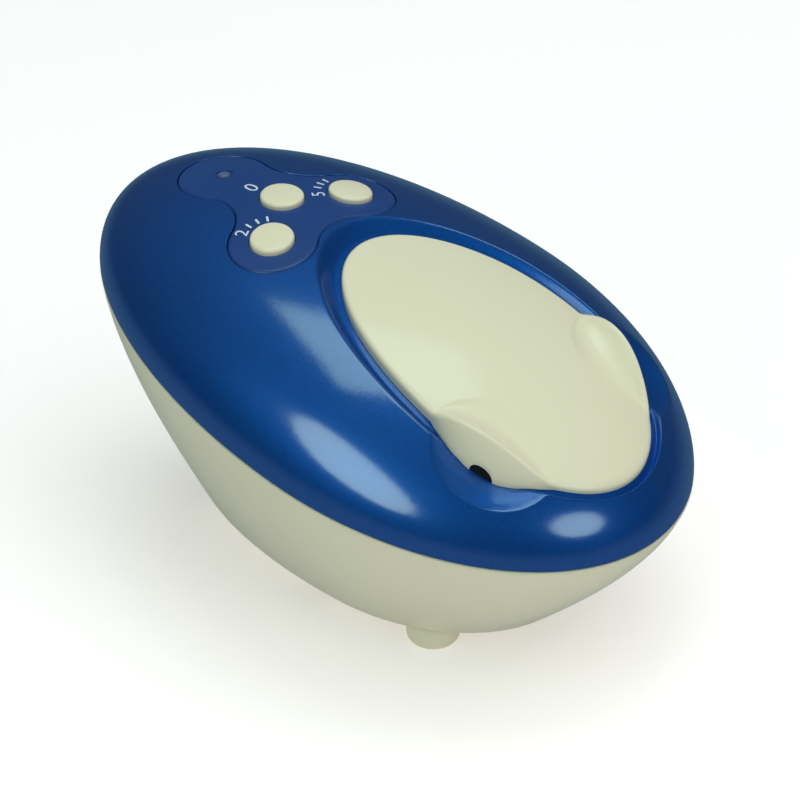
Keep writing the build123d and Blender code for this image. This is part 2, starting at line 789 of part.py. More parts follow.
def cup_cap(y, turn_out):
    cap_radius = cup_spacing / 2 - grip_thickness / 2 - slide_gap
    with BuildPart() as cap:
        with BuildSketch(Plane.XY.offset(cup_rim)):
            with Locations((0, y)):
                Circle(cap_radius)
        extrude(amount=cap_thickness)
        fillet(cap.edges().group_by(Axis.Z)[-1], radius=0.4)
        with BuildSketch(Plane.XY.offset(cup_rim)):
            with Locations((0, y)):
                Circle(cup_radius - cup_wall - seat_gap)
                Circle(cup_radius - 2 * cup_wall - seat_gap, mode=Mode.SUBTRACT)
        extrude(amount=-cap_plug)
        with BuildSketch(Plane.XY.offset(cup_rim + cap_thickness)):
            with Locations((0, y + turn_out * cap_radius / 3)):
                SlotOverall(2 * cap_radius / 1.6, 2.0)
        extrude(amount=cap_grip_height)
    return cap.part


save(cup_cap(cup_points[0][1], -1), "cup_cap_front")
save(cup_cap(cup_points[1][1], 1), "cup_cap_back")

# Main board and what stands on it.
save(board(main_board_width, main_board_length, main_board_y, main_board_z, board_corners,
           small_screw_radius + 0.1), "main_board")
choke_x = -9.4
choke_y = 13.5
choke_radius = 7.0
choke_height = 12.0
choke_post_radius = 3.5
choke_flange = 2.0
with BuildPart() as choke_core:
    with BuildSketch(Plane.XZ.offset(-choke_y)):
        with BuildLine():
            Polyline((0, 0), (choke_radius, 0), (choke_radius, choke_flange), (choke_post_radius, choke_flange),
                     (choke_post_radius, choke_height - choke_flange), (choke_radius, choke_height - choke_flange),
                     (choke_radius, choke_height), (0, choke_height), close=True)
        make_face()
    revolve(axis=Axis((0, choke_y, 0), (0, 0, 1)))
save(choke_core.part.moved(Location((choke_x, 0, main_board_top))), "choke_core")

winding_low = main_board_top + choke_flange
with BuildPart() as choke_winding:
    add(pillar(choke_x, choke_y, choke_radius - 0.8, winding_low, winding_low + choke_height - 2 * choke_flange))
    add(pillar(choke_x, choke_y, choke_post_radius, winding_low, 90), mode=Mode.SUBTRACT)
save(choke_winding.part, "choke_winding")

capacitor_points = [(12.5, 12.0), (12.5, 21.0), (-11.0, 28.0)]
with BuildPart() as capacitors:
    with BuildSketch(Plane.XY.offset(main_board_top)):
        with Locations(capacitor_points):
            Circle(4.0)
    extrude(amount=11.5)
    fillet(capacitors.edges().group_by(Axis.Z)[-1], radius=0.6)
    fillet(capacitors.edges().group_by(Axis.Z)[0], radius=0.3)
save(capacitors.part, "capacitors")

sink_y = 26.5
sink_x = 2.0
sink_length = 14.0
sink_depth = 8.0
sink_height = 16.0
fin_count = 5
with BuildPart() as heat_sink:
    with BuildSketch(Plane.XY.offset(main_board_top)):
        with Locations((sink_x, sink_y)):
            Rectangle(sink_length, 2.0)
        fin_pitch = (sink_length - 1.0) / (fin_count - 1)
        with Locations((sink_x, sink_y + sink_depth / 2)):
            with GridLocations(fin_pitch, 0, fin_count, 1):
                Rectangle(1.0, sink_depth)
    extrude(amount=sink_height)
save(heat_sink.part, "heat_sink")

with BuildPart() as transistor:
    with BuildSketch(Plane.XY.offset(main_board_top + 3.0)):
        with Locations((sink_x, sink_y - 1.0)):
            Rectangle(10.0, 4.4, align=(Align.CENTER, Align.MAX))
    extrude(amount=9.0)
    chamfer(transistor.faces().sort_by(Axis.Y)[0].edges(), length=0.5)
    with BuildSketch(Plane.XY.offset(main_board_top)):
        with Locations((sink_x, sink_y - 3.4)):
            with GridLocations(2.54, 0, 3, 1):
                Rectangle(0.8, 0.6)
    extrude(amount=4.0)
save(transistor.part, "transistor")

chip_x = 12.8
chip_y = 29.5
with BuildPart() as control_chip:
    with BuildSketch(Plane.XY.offset(main_board_top + 0.2)):
        with Locations((chip_x, chip_y)):
            Rectangle(3.9, 8.6)
    extrude(amount=1.5)
    chamfer(control_chip.edges().group_by(Axis.Z)[-1], length=0.3)
    with BuildSketch(Plane.XY.offset(main_board_top)):
        with Locations((chip_x, chip_y)):
            with GridLocations(0, 1.27, 1, 7):
                Rectangle(6.0, 0.45)
    extrude(amount=0.8)
save(control_chip.part, "control_chip")

# Sockets on both boards, and the leads and the ribbon between them.
ribbon_x = 3.0
key_ribbon_y = 17.0
main_ribbon_y = 10.0
lead_socket = (0.0, 37.2)
tank_socket = (2.0, 3.2)
socket_height = 6.0
with BuildPart() as lead_sockets:
    with BuildSketch(Plane.XY.offset(main_board_top)):
        with Locations(lead_socket, tank_socket):
            Rectangle(8.0, 5.0)
        with Locations((ribbon_x, main_ribbon_y)):
            Rectangle(ribbon_width + 2, 3.4)
    extrude(amount=socket_height)
    with BuildSketch(Plane.XY.offset(key_board_z)):
        with Locations((ribbon_x, key_ribbon_y)):
            Rectangle(ribbon_width + 2, 3.4)
    extrude(amount=-3.0)
    chamfer(lead_sockets.edges().filter_by(Axis.Z), length=0.4)
save(lead_sockets.part, "lead_sockets")

with BuildPart() as ribbon_cable:
    with BuildLine():
        Spline((ribbon_x, key_ribbon_y, key_board_z - 3), (ribbon_x, key_ribbon_y - 9, 50),
               (ribbon_x, main_ribbon_y + 5, 41), (ribbon_x, main_ribbon_y, main_board_top + socket_height),
               tangents=((0, 0, -1), (0, 0, -1)))
    with BuildSketch(Plane((ribbon_x, key_ribbon_y, key_board_z - 3), x_dir=(1, 0, 0), z_dir=(0, 0, -1))):
        Rectangle(ribbon_width, ribbon_thickness)
    sweep()
save(ribbon_cable.part, "ribbon_cable")


def lead(points, start, end):
    # Round wire through the given points, leaving and arriving along the given directions.
    with BuildPart() as wire:
        with BuildLine() as path:
            Spline(*points, tangents=(start, end))
        with BuildSketch(Plane(path.line @ 0, z_dir=path.line % 0)):
            Circle(lead_radius)
        sweep()
    return wire.part


socket_top = main_board_top + socket_height
disc_low = tank_floor - transducer_thickness
tank_leads = []
jack_leads = []
for side in (-1, 1):
    x = side * 1.6
    tank_leads.append(lead([(x, well_y + 8, disc_low), (x + 0.5, -14, disc_low - 5),
                            (x + 2, -4, main_board_top + 3), (x + 2, tank_socket[1], socket_top)],
                           (0, 0, -1), (0, 0, -1)))
    jack_leads.append(lead([(x, jack_face_y - jack_length, jack_z), (x, 47, 43),
                            (x, lead_socket[1], socket_top)], (0, -1, 0), (0, 0, -1)))
save(union(*tank_leads), "piezo_leads")
save(union(*jack_leads), "power_leads")

# Power inlet: a barrel jack whose flange sits in a pocket of the rear wall.
with BuildPart() as power_inlet:
    add(rod_along_y(jack_z, jack_radius, jack_face_y - jack_length, jack_face_y))
    add(rod_along_y(jack_z, jack_flange_radius, jack_face_y, jack_face_y + jack_flange))
    add(rod_along_y(jack_z, jack_bore, jack_face_y - jack_length + 3, jack_face_y + 3), mode=Mode.SUBTRACT)
    add(rod_along_y(jack_z, jack_pin_radius, jack_face_y - jack_length + 1, jack_face_y - 1))
save(power_inlet.part, "power_inlet")
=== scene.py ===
import math

import bmesh
import bpy
import numpy as np
from mathutils import Matrix, Vector
from mathutils.geometry import delaunay_2d_cdt


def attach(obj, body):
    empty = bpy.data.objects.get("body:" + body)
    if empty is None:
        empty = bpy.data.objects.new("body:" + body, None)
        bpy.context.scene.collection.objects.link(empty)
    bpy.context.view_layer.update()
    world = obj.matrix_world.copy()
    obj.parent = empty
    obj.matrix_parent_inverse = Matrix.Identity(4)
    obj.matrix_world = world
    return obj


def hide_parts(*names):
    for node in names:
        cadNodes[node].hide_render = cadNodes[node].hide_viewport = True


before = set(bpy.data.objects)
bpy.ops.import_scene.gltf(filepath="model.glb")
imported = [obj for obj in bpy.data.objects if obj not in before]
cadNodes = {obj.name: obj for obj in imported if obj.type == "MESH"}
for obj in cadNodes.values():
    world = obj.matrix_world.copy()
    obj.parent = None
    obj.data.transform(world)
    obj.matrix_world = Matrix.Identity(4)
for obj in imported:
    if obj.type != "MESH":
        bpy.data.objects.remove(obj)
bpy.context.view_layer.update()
print("frame loaded,", len(cadNodes), "nodes")

mm = 0.001

body = {
    "halfWidth": 49.6,
    "frontLength": 65.0,
    "backLength": 85.0,
    "widestY": -10.0,
    "seamHeight": 50.4,
    "seamSlope": math.tan(math.radians(10.4)),
    "domeRise": 27.0,
    "wall": 2.4,
    "baseHeight": 6.0,
    "baseFront": 37.8,
    "baseBack": 62.7,
    "baseHalfWidth": 28.0,
    "hullBulge": 1.34,
}


def seamZ(y):
    return body["seamHeight"] + body["seamSlope"] * (y - body["widestY"])


def lengthAt(ahead, inset=0.0):
    # length of the egg from its widest line to the front or the back
    return np.where(ahead, body["frontLength"], body["backLength"]) - inset


def domeZ(x, y, inset=0.0):
    # seam height plus the rise times the root of one less the squared shares of width and length
    reach = lengthAt(y < body["widestY"], inset)
    share = 1 - (x / (body["halfWidth"] - inset)) ** 2 - ((y - body["widestY"]) / reach) ** 2
    return seamZ(y) + (body["domeRise"] - inset) * np.sqrt(np.maximum(share, 0))


def softMin(a, b, reach):
    # the lower of two heights, with the crease between them rounded over the given reach
    near = np.maximum(reach - np.abs(a - b), 0) / reach
    return np.minimum(a, b) - near * near * reach / 4


def softMax(a, b, reach):
    return -softMin(-a, -b, reach)


def chartToPlan(chart):
    # the dome unrolled: distance from the crown along the egg in each direction
    u, v = chart.T
    reach = lengthAt(v < 0)
    c, s = u / body["halfWidth"], v / reach
    turn = np.hypot(c, s)
    k = np.where(turn > 1e-9, np.sin(turn) / np.maximum(turn, 1e-9), 1.0)
    y = body["widestY"] + reach * s * k
    return body["halfWidth"] * c * k, y, seamZ(y) + body["domeRise"] * np.cos(turn)


def planToChart(plan):
    reach = lengthAt(plan[:, 1] < body["widestY"])
    c = plan[:, 0] / body["halfWidth"]
    s = (plan[:, 1] - body["widestY"]) / reach
    rho = np.minimum(np.hypot(c, s), 1.0)
    k = np.where(rho > 1e-9, np.arcsin(rho) / np.maximum(rho, 1e-9), 1.0)
    return np.stack([body["halfWidth"] * c * k, reach * s * k], 1)


def turns(count):
    return np.linspace(0, 2 * np.pi, count, endpoint=False)


def egg(centreY, front, back, half, angles):
    # two half ellipses that meet at centreY
    reach = np.where(np.sin(angles) < 0, front, back)
    return np.stack([half * np.cos(angles), centreY + reach * np.sin(angles)], 1)


def around(x, y, radius, angles):
    return np.stack([x + radius * np.cos(angles), y + radius * np.sin(angles)], 1)


def ring(x, y, radius, count):
    return around(x, y, radius, turns(count))


def runAlong(points):
    # distance from the first point to each, along the line through them
    return np.concatenate([[0], np.cumsum(np.hypot(*np.diff(points, axis=0).T))])


def resample(outline, spacing):
    # the same closed outline with its points an even distance apart
    closed = np.vstack([outline, outline[:1]])
    run = runAlong(closed)
    count = max(8, int(round(run[-1] / spacing)))
    at = np.linspace(0, run[-1], count, endpoint=False)
    return np.stack([np.interp(at, run, closed[:, i]) for i in (0, 1)], 1)


def outward(outline):
    # unit normals of a closed outline that runs anticlockwise
    ahead = np.roll(outline, -1, 0) - np.roll(outline, 1, 0)
    normal = np.stack([ahead[:, 1], -ahead[:, 0]], 1)
    return normal / np.linalg.norm(normal, axis=1, keepdims=True)


def inside(points, outline):
    # counts how often a line to the right of each point crosses the outline
    hit = np.zeros(len(points), bool)
    for a, b in zip(outline, np.roll(outline, -1, 0)):
        crosses = (a[1] > points[:, 1]) != (b[1] > points[:, 1])
        if crosses.any():
            at = (b[0] - a[0]) * (points[:, 1] - a[1]) / (b[1] - a[1] + 1e-30) + a[0]
            hit ^= crosses & (points[:, 0] < at)
    return hit


def within(points, outer, holes):
    # which points lie inside the outer outline and outside every hole
    good = inside(points, outer)
    for hole in holes:
        good &= ~inside(points, hole)
    return good


def farFrom(points, others, reach):
    # which points are further than the reach from all the others, worked out in blocks
    keep = np.ones(len(points), bool)
    for start in range(0, len(points), 2000):
        part = points[start:start + 2000]
        gap = ((part[:, None, :] - others[None, :, :]) ** 2).sum(2).min(1)
        keep[start:start + 2000] = gap > reach * reach
    return keep


def honeycomb(low, high, spacing):
    # level rows, 0.866 of the spacing apart, with every other row moved by half the spacing
    across = np.arange(low[0], high[0], spacing)
    rows = enumerate(np.arange(low[1], high[1], spacing * 0.866))
    return np.vstack([np.stack([across + i % 2 * spacing / 2, np.full(len(across), y)], 1) for i, y in rows])


# shares of the spacing within which a new point is left out, beside lines and in the open
thinning = {"line": 0.45, "field": 0.55}


def fillPatch(outer, holes, lines, spacing):
    # triangles over the area inside the outer outline and outside the holes. Lines is a list of
    # (outline, distances, step): points go along each line and beside it at those distances
    kept = np.vstack([outer] + holes)
    edges = []
    start = 0
    for loop in [outer] + holes:
        index = np.arange(start, start + len(loop))
        edges += np.stack([index, np.roll(index, -1)], 1).tolist()
        start += len(loop)
    for line, distances, step in lines:
        normal = outward(line)
        for distance in distances:
            layer = line + normal * distance
            layer = layer[within(layer, outer, holes)]
            kept = np.vstack([kept, layer[farFrom(layer, kept, step * thinning["line"])]])
    field = honeycomb(outer.min(0), outer.max(0), spacing)
    field = field[within(field, outer, holes)]
    kept = np.vstack([kept, field[farFrom(field, kept, spacing * thinning["field"])]])
    flat, _, faces, _, _, _ = delaunay_2d_cdt([Vector(p) for p in kept.tolist()], edges, [], 0, 1e-7, True)
    flat = np.array([tuple(p) for p in flat])
    faces = np.array(faces)
    faces = faces[within(flat[faces].mean(1), outer, holes)]
    span = flat[faces[:, 1:]] - flat[faces[:, :1]]
    turned = span[:, 0, 0] * span[:, 1, 1] - span[:, 0, 1] * span[:, 1, 0] < 0
    faces[turned] = faces[turned][:, ::-1]
    return flat, faces


def raised(plan, z):
    # the plan points at one height, or each at its own
    return np.column_stack([plan, np.broadcast_to(z, len(plan))])


def onDome(plan, inset=0.0, lift=0.0):
    return raised(plan, domeZ(plan[:, 0], plan[:, 1], inset) + lift)


def bands(loops, closed=True):
    # quads between each loop of points and the next
    loops = [np.asarray(loop, float) for loop in loops]
    count = len(loops[0])
    points = np.vstack(loops)
    column = np.arange(count if closed else count - 1)
    rows = []
    for level in range(len(loops) - 1):
        a = level * count + column
        b = level * count + (column + 1) % count
        rows.append(np.stack([a, b, b + count, a + count], 1))
    return points, np.vstack(rows)


def bend(first, corner, last, steps, start=0):
    # quadratic curve from first to last that leans on the corner
    shares = np.linspace(0, 1, steps + 1)[start:]
    return [(1 - t) ** 2 * first + 2 * t * (1 - t) * corner + t * t * last for t in shares]


def linked(name, data):
    thing = bpy.data.objects.new(name, data)
    bpy.context.scene.collection.objects.link(thing)
    return thing


def placesOf(mesh):
    # the places of the vertices, one row each
    places = np.zeros(len(mesh.vertices) * 3)
    mesh.vertices.foreach_get("co", places)
    return places.reshape(-1, 3)


# distances in metres within which points are joined and thin faces taken out
welding = {"join": 4e-6, "thin": 1e-7}


def solid(name, patches, material, node=None, bodyName="case", crease=42, extra=()):
    # joins patches given in millimetres as (points, faces) or (points, faces, material index)
    verts, faces, indices = [], [], []
    start = 0
    for points, quads, *index in patches:
        verts.append(np.asarray(points, float) * mm)
        faces += (np.asarray(quads) + start).tolist()
        indices += list(index[0]) if index else [0] * len(quads)
        start += len(points)
    mesh = bpy.data.meshes.new(name)
    mesh.from_pydata(np.vstack(verts).tolist(), [], faces)
    mesh.polygons.foreach_set("material_index", np.array(indices, np.int32))
    work = bmesh.new()
    work.from_mesh(mesh)
    bmesh.ops.remove_doubles(work, verts=work.verts, dist=welding["join"])
    bmesh.ops.dissolve_degenerate(work, edges=work.edges, dist=welding["thin"])
    bmesh.ops.recalc_face_normals(work, faces=work.faces)
    openEdges = sum(1 for e in work.edges if len(e.link_faces) != 2)
    work.to_mesh(mesh)
    work.free()
    mesh.polygons.foreach_set("use_smooth", np.ones(len(mesh.polygons), bool))
    mesh.set_sharp_from_angle(angle=math.radians(crease))
    piece = linked(name, mesh)
    for m in [material, *extra]:
        mesh.materials.append(m)
    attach(piece, bodyName)
    if node:
        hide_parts(node)
    print(name, len(mesh.polygons), "faces,", openEdges, "open edges")
    return piece


def fill(tree, shader, inputs):
    # joins each named input to an output, or sets it to a plain value
    for label, value in inputs.items():
        if isinstance(value, bpy.types.NodeSocket):
            tree.links.new(value, shader.inputs[label])
        else:
            shader.inputs[label].default_value = value
    return shader


def addNode(tree, kind, inputs=None, operation=None):
    shader = tree.nodes.new("ShaderNode" + kind)
    if operation:
        shader.operation = operation
    return fill(tree, shader, inputs or {})


def mixNode(tree, factor, first, second):
    mix = addNode(tree, "Mix")
    mix.data_type = "RGBA"
    return fill(tree, mix, {"Factor": factor, 6: first, 7: second}).outputs[2]


def rangeNode(tree, value, low, high, fromLow=0.0, fromHigh=1.0):
    span = {"Value": value, "From Min": fromLow, "From Max": fromHigh, "To Min": low, "To Max": high}
    return addNode(tree, "MapRange", span).outputs["Result"]


# the part of a noise's range that is stretched to 0 and 1
noiseSpan = (0.3, 0.7)


def makeMouldedFinish():
    # two noises: a broad one drifts the colour and the gloss, a fine one gives the moulding grain
    group = bpy.data.node_groups.new("mouldedFinish", "ShaderNodeTree")
    sockets = {
        "INPUT": {"Colour": "Color", "Drift Colour": "Color", "Broad Scale": "Float", "Grain Scale": "Float",
                  "Gloss": "Float", "Dull": "Float"},
        "OUTPUT": {"Colour": "Color", "Roughness": "Float", "Height": "Float"},
    }
    for way, kinds in sockets.items():
        for label, kind in kinds.items():
            group.interface.new_socket(label, in_out=way, socket_type="NodeSocket" + kind)
    given = group.nodes.new("NodeGroupInput").outputs
    place = addNode(group, "TexCoord").outputs["Object"]
    broad = addNode(group, "TexNoise", {"Vector": place, "Scale": given["Broad Scale"], "Detail": 3})
    grain = addNode(group, "TexNoise", {"Vector": place, "Scale": given["Grain Scale"], "Detail": 2})
    grain = grain.outputs["Fac"]
    drift = rangeNode(group, broad.outputs["Fac"], 0.0, 1.0, *noiseSpan)
    half = addNode(group, "Math", {0: drift, 1: 0.5}, "MULTIPLY")
    both = addNode(group, "Math", {0: grain, 1: 0.5, 2: half.outputs[0]}, "MULTIPLY_ADD")
    fill(group, group.nodes.new("NodeGroupOutput"), {
        "Colour": mixNode(group, drift, given["Colour"], given["Drift Colour"]),
        "Roughness": rangeNode(group, both.outputs[0], given["Gloss"], given["Dull"]),
        "Height": grain,
    })
    return group


mouldedFinish = makeMouldedFinish()


def srgb(r, g, b):
    # 0 to 255 as on screen, made linear
    linear = [((v / 255 + 0.055) / 1.055) ** 2.4 if v > 10 else v / 255 / 12.92 for v in (r, g, b)]
    return (*linear, 1.0)


def newMaterial(name):
    material = bpy.data.materials.new(name)
    material.use_nodes = True
    return material, material.node_tree


# height of the grain in metres
bumpDistance = 0.0001


def moulded(name, colour, drift, gloss, dull, broadScale=30.0, grainScale=2500.0, bump=0.02, **shader):
    # plastic, metal or print, with both colours as on screen
    material, tree = newMaterial(name)
    finish = addNode(tree, "Group")
    finish.node_tree = mouldedFinish
    fill(tree, finish, {"Colour": srgb(*colour), "Drift Colour": srgb(*drift), "Broad Scale": broadScale,
                        "Grain Scale": grainScale, "Gloss": gloss, "Dull": dull})
    inputs = {"Base Color": finish.outputs["Colour"], "Roughness": finish.outputs["Roughness"]}
    if bump:
        relief = addNode(tree, "Bump", {"Strength": bump, "Distance": bumpDistance,
                                        "Height": finish.outputs["Height"]})
        inputs["Normal"] = relief.outputs["Normal"]
    inputs.update({label.replace("_", " "): value for label, value in shader.items()})
    fill(tree, tree.nodes["Principled BSDF"], inputs)
    return material


def lacquer(name, values):
    # metallic lacquer: each flake is a small cell that leans its own way and has its own shade
    material, tree = newMaterial(name)
    place = addNode(tree, "TexCoord").outputs["Object"]
    cells = addNode(tree, "TexVoronoi", {"Vector": place, "Scale": values["flakeScale"]}).outputs["Color"]
    shade = addNode(tree, "SeparateColor", {"Color": cells}).outputs["Red"]
    broad = addNode(tree, "TexNoise", {"Vector": place, "Scale": values["broadScale"]}).outputs["Fac"]
    normal = addNode(tree, "NewGeometry").outputs["Normal"]
    # painted shade: the sunk mask thins the coat in the recess, which dims its reflections there
    sunk = addNode(tree, "Attribute")
    sunk.attribute_name = "sunk"

    def leaned(size):
        # the normal plus the cell's own vector, which runs from minus half the size to plus half
        lean = addNode(tree, "VectorMath", {0: cells, 1: (size,) * 3, 2: (-size / 2,) * 3}, "MULTIPLY_ADD")
        total = addNode(tree, "VectorMath", {0: normal, 1: lean.outputs[0]}, "ADD")
        return addNode(tree, "VectorMath", {0: total.outputs[0]}, "NORMALIZE").outputs[0]

    shade = rangeNode(tree, shade, 0.0, 1.0, values["shadeFrom"])
    fill(tree, tree.nodes["Principled BSDF"], {
        "Base Color": mixNode(tree, shade, srgb(*values["deep"]), srgb(*values["bright"])),
        "Normal": leaned(values["flakeLean"]),
        "Roughness": rangeNode(tree, broad, values["gloss"], values["dull"], *noiseSpan),
        "Metallic": values["metallic"],
        "Coat Weight": rangeNode(tree, sunk.outputs["Fac"], values["coat"], values["coatRecessShade"]),
        "Coat Normal": leaned(values["coatLean"]),
        "Coat Roughness": values["coatRoughness"],
        "Coat IOR": values["coatIndex"],
    })
    return material


blueLacquer = lacquer("blueLacquer", {
    "deep": (14, 97, 198), "bright": (18, 113, 220), "shadeFrom": 0.1, "flakeScale": 6500.0, "flakeLean": 0.06,
    "broadScale": 24.0, "gloss": 0.46, "dull": 0.52, "metallic": 0.85, "coat": 1.0, "coatRecessShade": 0.4,
    "coatLean": 0.02, "coatRoughness": 0.13, "coatIndex": 2.1,
})
ivoryGloss = moulded("ivoryGloss", (237, 228, 200), (234, 225, 196), 0.15, 0.2, 22.0, bump=0.01)
# painted shade: the hull is the same ivory plastic as the lid, set darker for its sides, which get less light
ivoryHullShaded = moulded("ivoryHullShaded", (224, 218, 191), (220, 214, 186), 0.28, 0.36, 20.0, bump=0.015)
ivoryRubber = moulded("ivoryRubber", (242, 236, 208), (236, 229, 201), 0.42, 0.55, 60.0, bump=0.05)
panelBlue = moulded("panelBlue", (37, 70, 133), (32, 63, 124), 0.3, 0.38, 40.0, bump=0.012,
                    Coat_Weight=0.3, Coat_Roughness=0.1)
# painted shade: near-black for the face at the back of each notch in the lid, where the hollow behind would be
# in shade
paintedNotchShade = moulded("paintedNotchShade", (14, 15, 12), (9, 10, 8), 0.6, 0.8, 60.0, bump=0.0)
paleInk = moulded("paleInk", (222, 226, 238), (212, 218, 232), 0.45, 0.55, 200.0, bump=0.0)
clearLens = moulded("clearLens", (112, 132, 176), (102, 122, 168), 0.08, 0.14, 80.0, bump=0.0,
                    Transmission_Weight=0.35, IOR=1.49)
print("materials made")

recess = {
    "lidY": -36.0, "depth": 3.2, "halfWidth": 28.8, "front": 33.5, "back": 50.2, "levels": (-7.0, 4.0),
    "growHalf": 2.9, "growFront": 1.4, "growBack": 5.6, "sideLift": 2.3,
    "pocketX": 22.2, "pocketY": -49.0, "pocketRadius": 15.7, "pocketDepth": 4.0,
    "earRoom": 0.4, "roomSlope": 4.0, "roomRound": 0.3,
    "rimRound": 0.65, "footRound": 0.9, "pocketRound": 0.4,
    "riseStart": -50.0, "riseRun": 12.0, "frontRise": 1.3,
}
rimFrontY = recess["lidY"] - recess["front"]
rimBackY = recess["lidY"] + recess["back"]
rimFrontZ = float(domeZ(0.0, rimFrontY))
rimSlope = (float(domeZ(0.0, rimBackY)) - rimFrontZ) / (rimBackY - rimFrontY)


def recessWallZ(x, y):
    # level at which the growing outline of the recess passes through each point, found by halving
    low, high = (np.full(np.shape(x), level) for level in recess["levels"])
    for _ in range(32):
        grow = (low + high) / 2
        half = recess["halfWidth"] + (grow - recess["sideLift"] / recess["depth"]) * recess["growHalf"]
        front = recess["front"] + grow * recess["growFront"]
        back = recess["back"] + grow * recess["growBack"]
        reach = np.where(y < recess["lidY"], front, back)
        out = (x / half) ** 2 + ((y - recess["lidY"]) / reach) ** 2 > 1
        low, high = np.where(out, grow, low), np.where(out, high, grow)
    return rimFrontZ + rimSlope * (y - rimFrontY) + grow * recess["depth"]


def recessFloorZ(x, y):
    # the dome set in by the depth, which gets less towards the front
    t = np.clip((recess["riseStart"] - y) / recess["riseRun"], 0, 1)
    return domeZ(x, y, recess["depth"] - recess["frontRise"] * t * t * (3 - 2 * t))


pocketBall = (recess["pocketRadius"] ** 2 + recess["pocketDepth"] ** 2) / (2 * recess["pocketDepth"])
pocketSpot = np.array([recess["pocketX"], recess["pocketY"]])
slopeStep = 0.05
slopeX, slopeY = (float(domeZ(*(pocketSpot + step)) - domeZ(*(pocketSpot - step))) / (2 * slopeStep)
                  for step in (np.array([slopeStep, 0]), np.array([0, slopeStep])))
pocketNormal = np.array([-slopeX, -slopeY, 1.0]) / math.sqrt(slopeX**2 + slopeY**2 + 1)
pocketCentre = np.array([*pocketSpot, float(domeZ(*pocketSpot))])
pocketCentre = pocketCentre + pocketNormal * (pocketBall - recess["pocketDepth"])


def pocketZ(x, y):
    # underside of the ball on either side of the lid, and far above the dome elsewhere
    flat = (np.abs(x) - pocketCentre[0]) ** 2 + (y - pocketCentre[1]) ** 2
    return np.where(flat < pocketBall**2, pocketCentre[2] - np.sqrt(np.maximum(pocketBall**2 - flat, 0)), 1e3)


lid = {
    "halfWidth": 25.3, "front": 31.5, "back": 44.0, "sink": 0.7, "edgeRound": 1.2, "ridgeRound": 1.5,
    "earY": -46.9, "earLength": 26.2, "earHeight": 6.2, "earTip": 0.2, "earBulge": 2.2, "ridgeGap": 0.8,
    "scoopX": 25.8, "scoopY": -48.0, "scoopRadius": 13.5, "scoopDip": 0.8, "scoopRound": 0.5, "scoopEase": 0.35,
    "notchY": -47.7, "notchRadius": 2.45, "notchDepth": 0.35, "footInset": 0.1,
    "ribLength": 26.6, "ribWidth": 20.6, "ribWall": 1.6, "ribDepth": 3.0, "floorGap": 0.12,
}


def lidEdgeX(y):
    reach = np.where(y < recess["lidY"], lid["front"], lid["back"])
    return lid["halfWidth"] * np.sqrt(np.maximum(1 - ((y - recess["lidY"]) / reach) ** 2, 0))


def earSwell(y):
    # 1 at the middle of an ear, falling to 0 at its two ends
    return np.maximum(1 - ((y - lid["earY"]) / (lid["earLength"] / 2)) ** 2, 0)


def topZ(x, y, dome, soft=1.0):
    # outside of the upper housing: dome, cut by the recess and by the two pockets
    floor = recessFloorZ(x, y)
    sunk = softMax(recessWallZ(x, y), floor, recess["footRound"] * soft)
    swell = earSwell(y)
    roomX = lidEdgeX(y) + (lid["earTip"] + lid["earBulge"]) * swell + recess["earRoom"]
    room = floor + recess["roomSlope"] * np.maximum(np.abs(x) - roomX, 0)
    sunk = np.where(swell > 0, softMin(sunk, room, recess["roomRound"] * soft), sunk)
    height = softMin(dome, sunk, recess["rimRound"] * soft)
    return softMin(height, pocketZ(x, y), recess["pocketRound"] * soft)


def crossing(centre, angles, low, high, difference):
    # distance from the centre along each angle at which the difference turns positive, by halving
    near, far = np.full(len(angles), low), np.full(len(angles), high)
    ray = around(0.0, 0.0, 1.0, angles)
    for _ in range(30):
        middle = (near + far) / 2
        over = difference(*(centre + middle[:, None] * ray).T) > 0
        near, far = np.where(over, near, middle), np.where(over, middle, far)
    return centre + near[:, None] * ray


turnAngles = turns(720)
lidCentre = np.array([0.0, -34.0])
rimLine = crossing(lidCentre, turnAngles, 10.0, 60.0, lambda x, y: recessWallZ(x, y) - domeZ(x, y))
footLine = crossing(lidCentre, turnAngles, 10.0, 60.0, lambda x, y: recessWallZ(x, y) - recessFloorZ(x, y))


def pocketEdge(side):
    def difference(x, y):
        return pocketZ(x, y) - np.minimum(domeZ(x, y), np.maximum(recessWallZ(x, y), recessFloorZ(x, y)))
    return crossing(pocketSpot * [side, 1], turnAngles, 0.5, 20.0, difference)


panel = {
    "ledLobeY": 48.3, "ledLobeRadius": 10.4, "keyX": 12.9, "keyY": 21.8, "keyLobeRadius": 10.0,
    "waistRadius": 10.0, "frontY": 16.0, "thickness": 1.6, "edgeRound": 0.7, "seat": 0.15, "seatRound": 0.22,
    "floorInset": 0.02, "underGap": 0.03, "boreGap": 0.05,
    "buttonX": 12.9, "buttonY": 22.0, "offY": 30.7, "keyHole": 5.1, "holeRound": 0.2,
    "ledY": 48.2, "ledRadius": 1.5, "ledSink": 0.6, "dishRound": 0.12, "dishDepth": 0.3, "dishLow": 0.42,
}


def arcPoints(centre, radius, start, end, spacing=0.4):
    count = max(4, int(abs(end - start) * radius / spacing))
    return around(*centre, radius, np.linspace(start, end, count, endpoint=False))


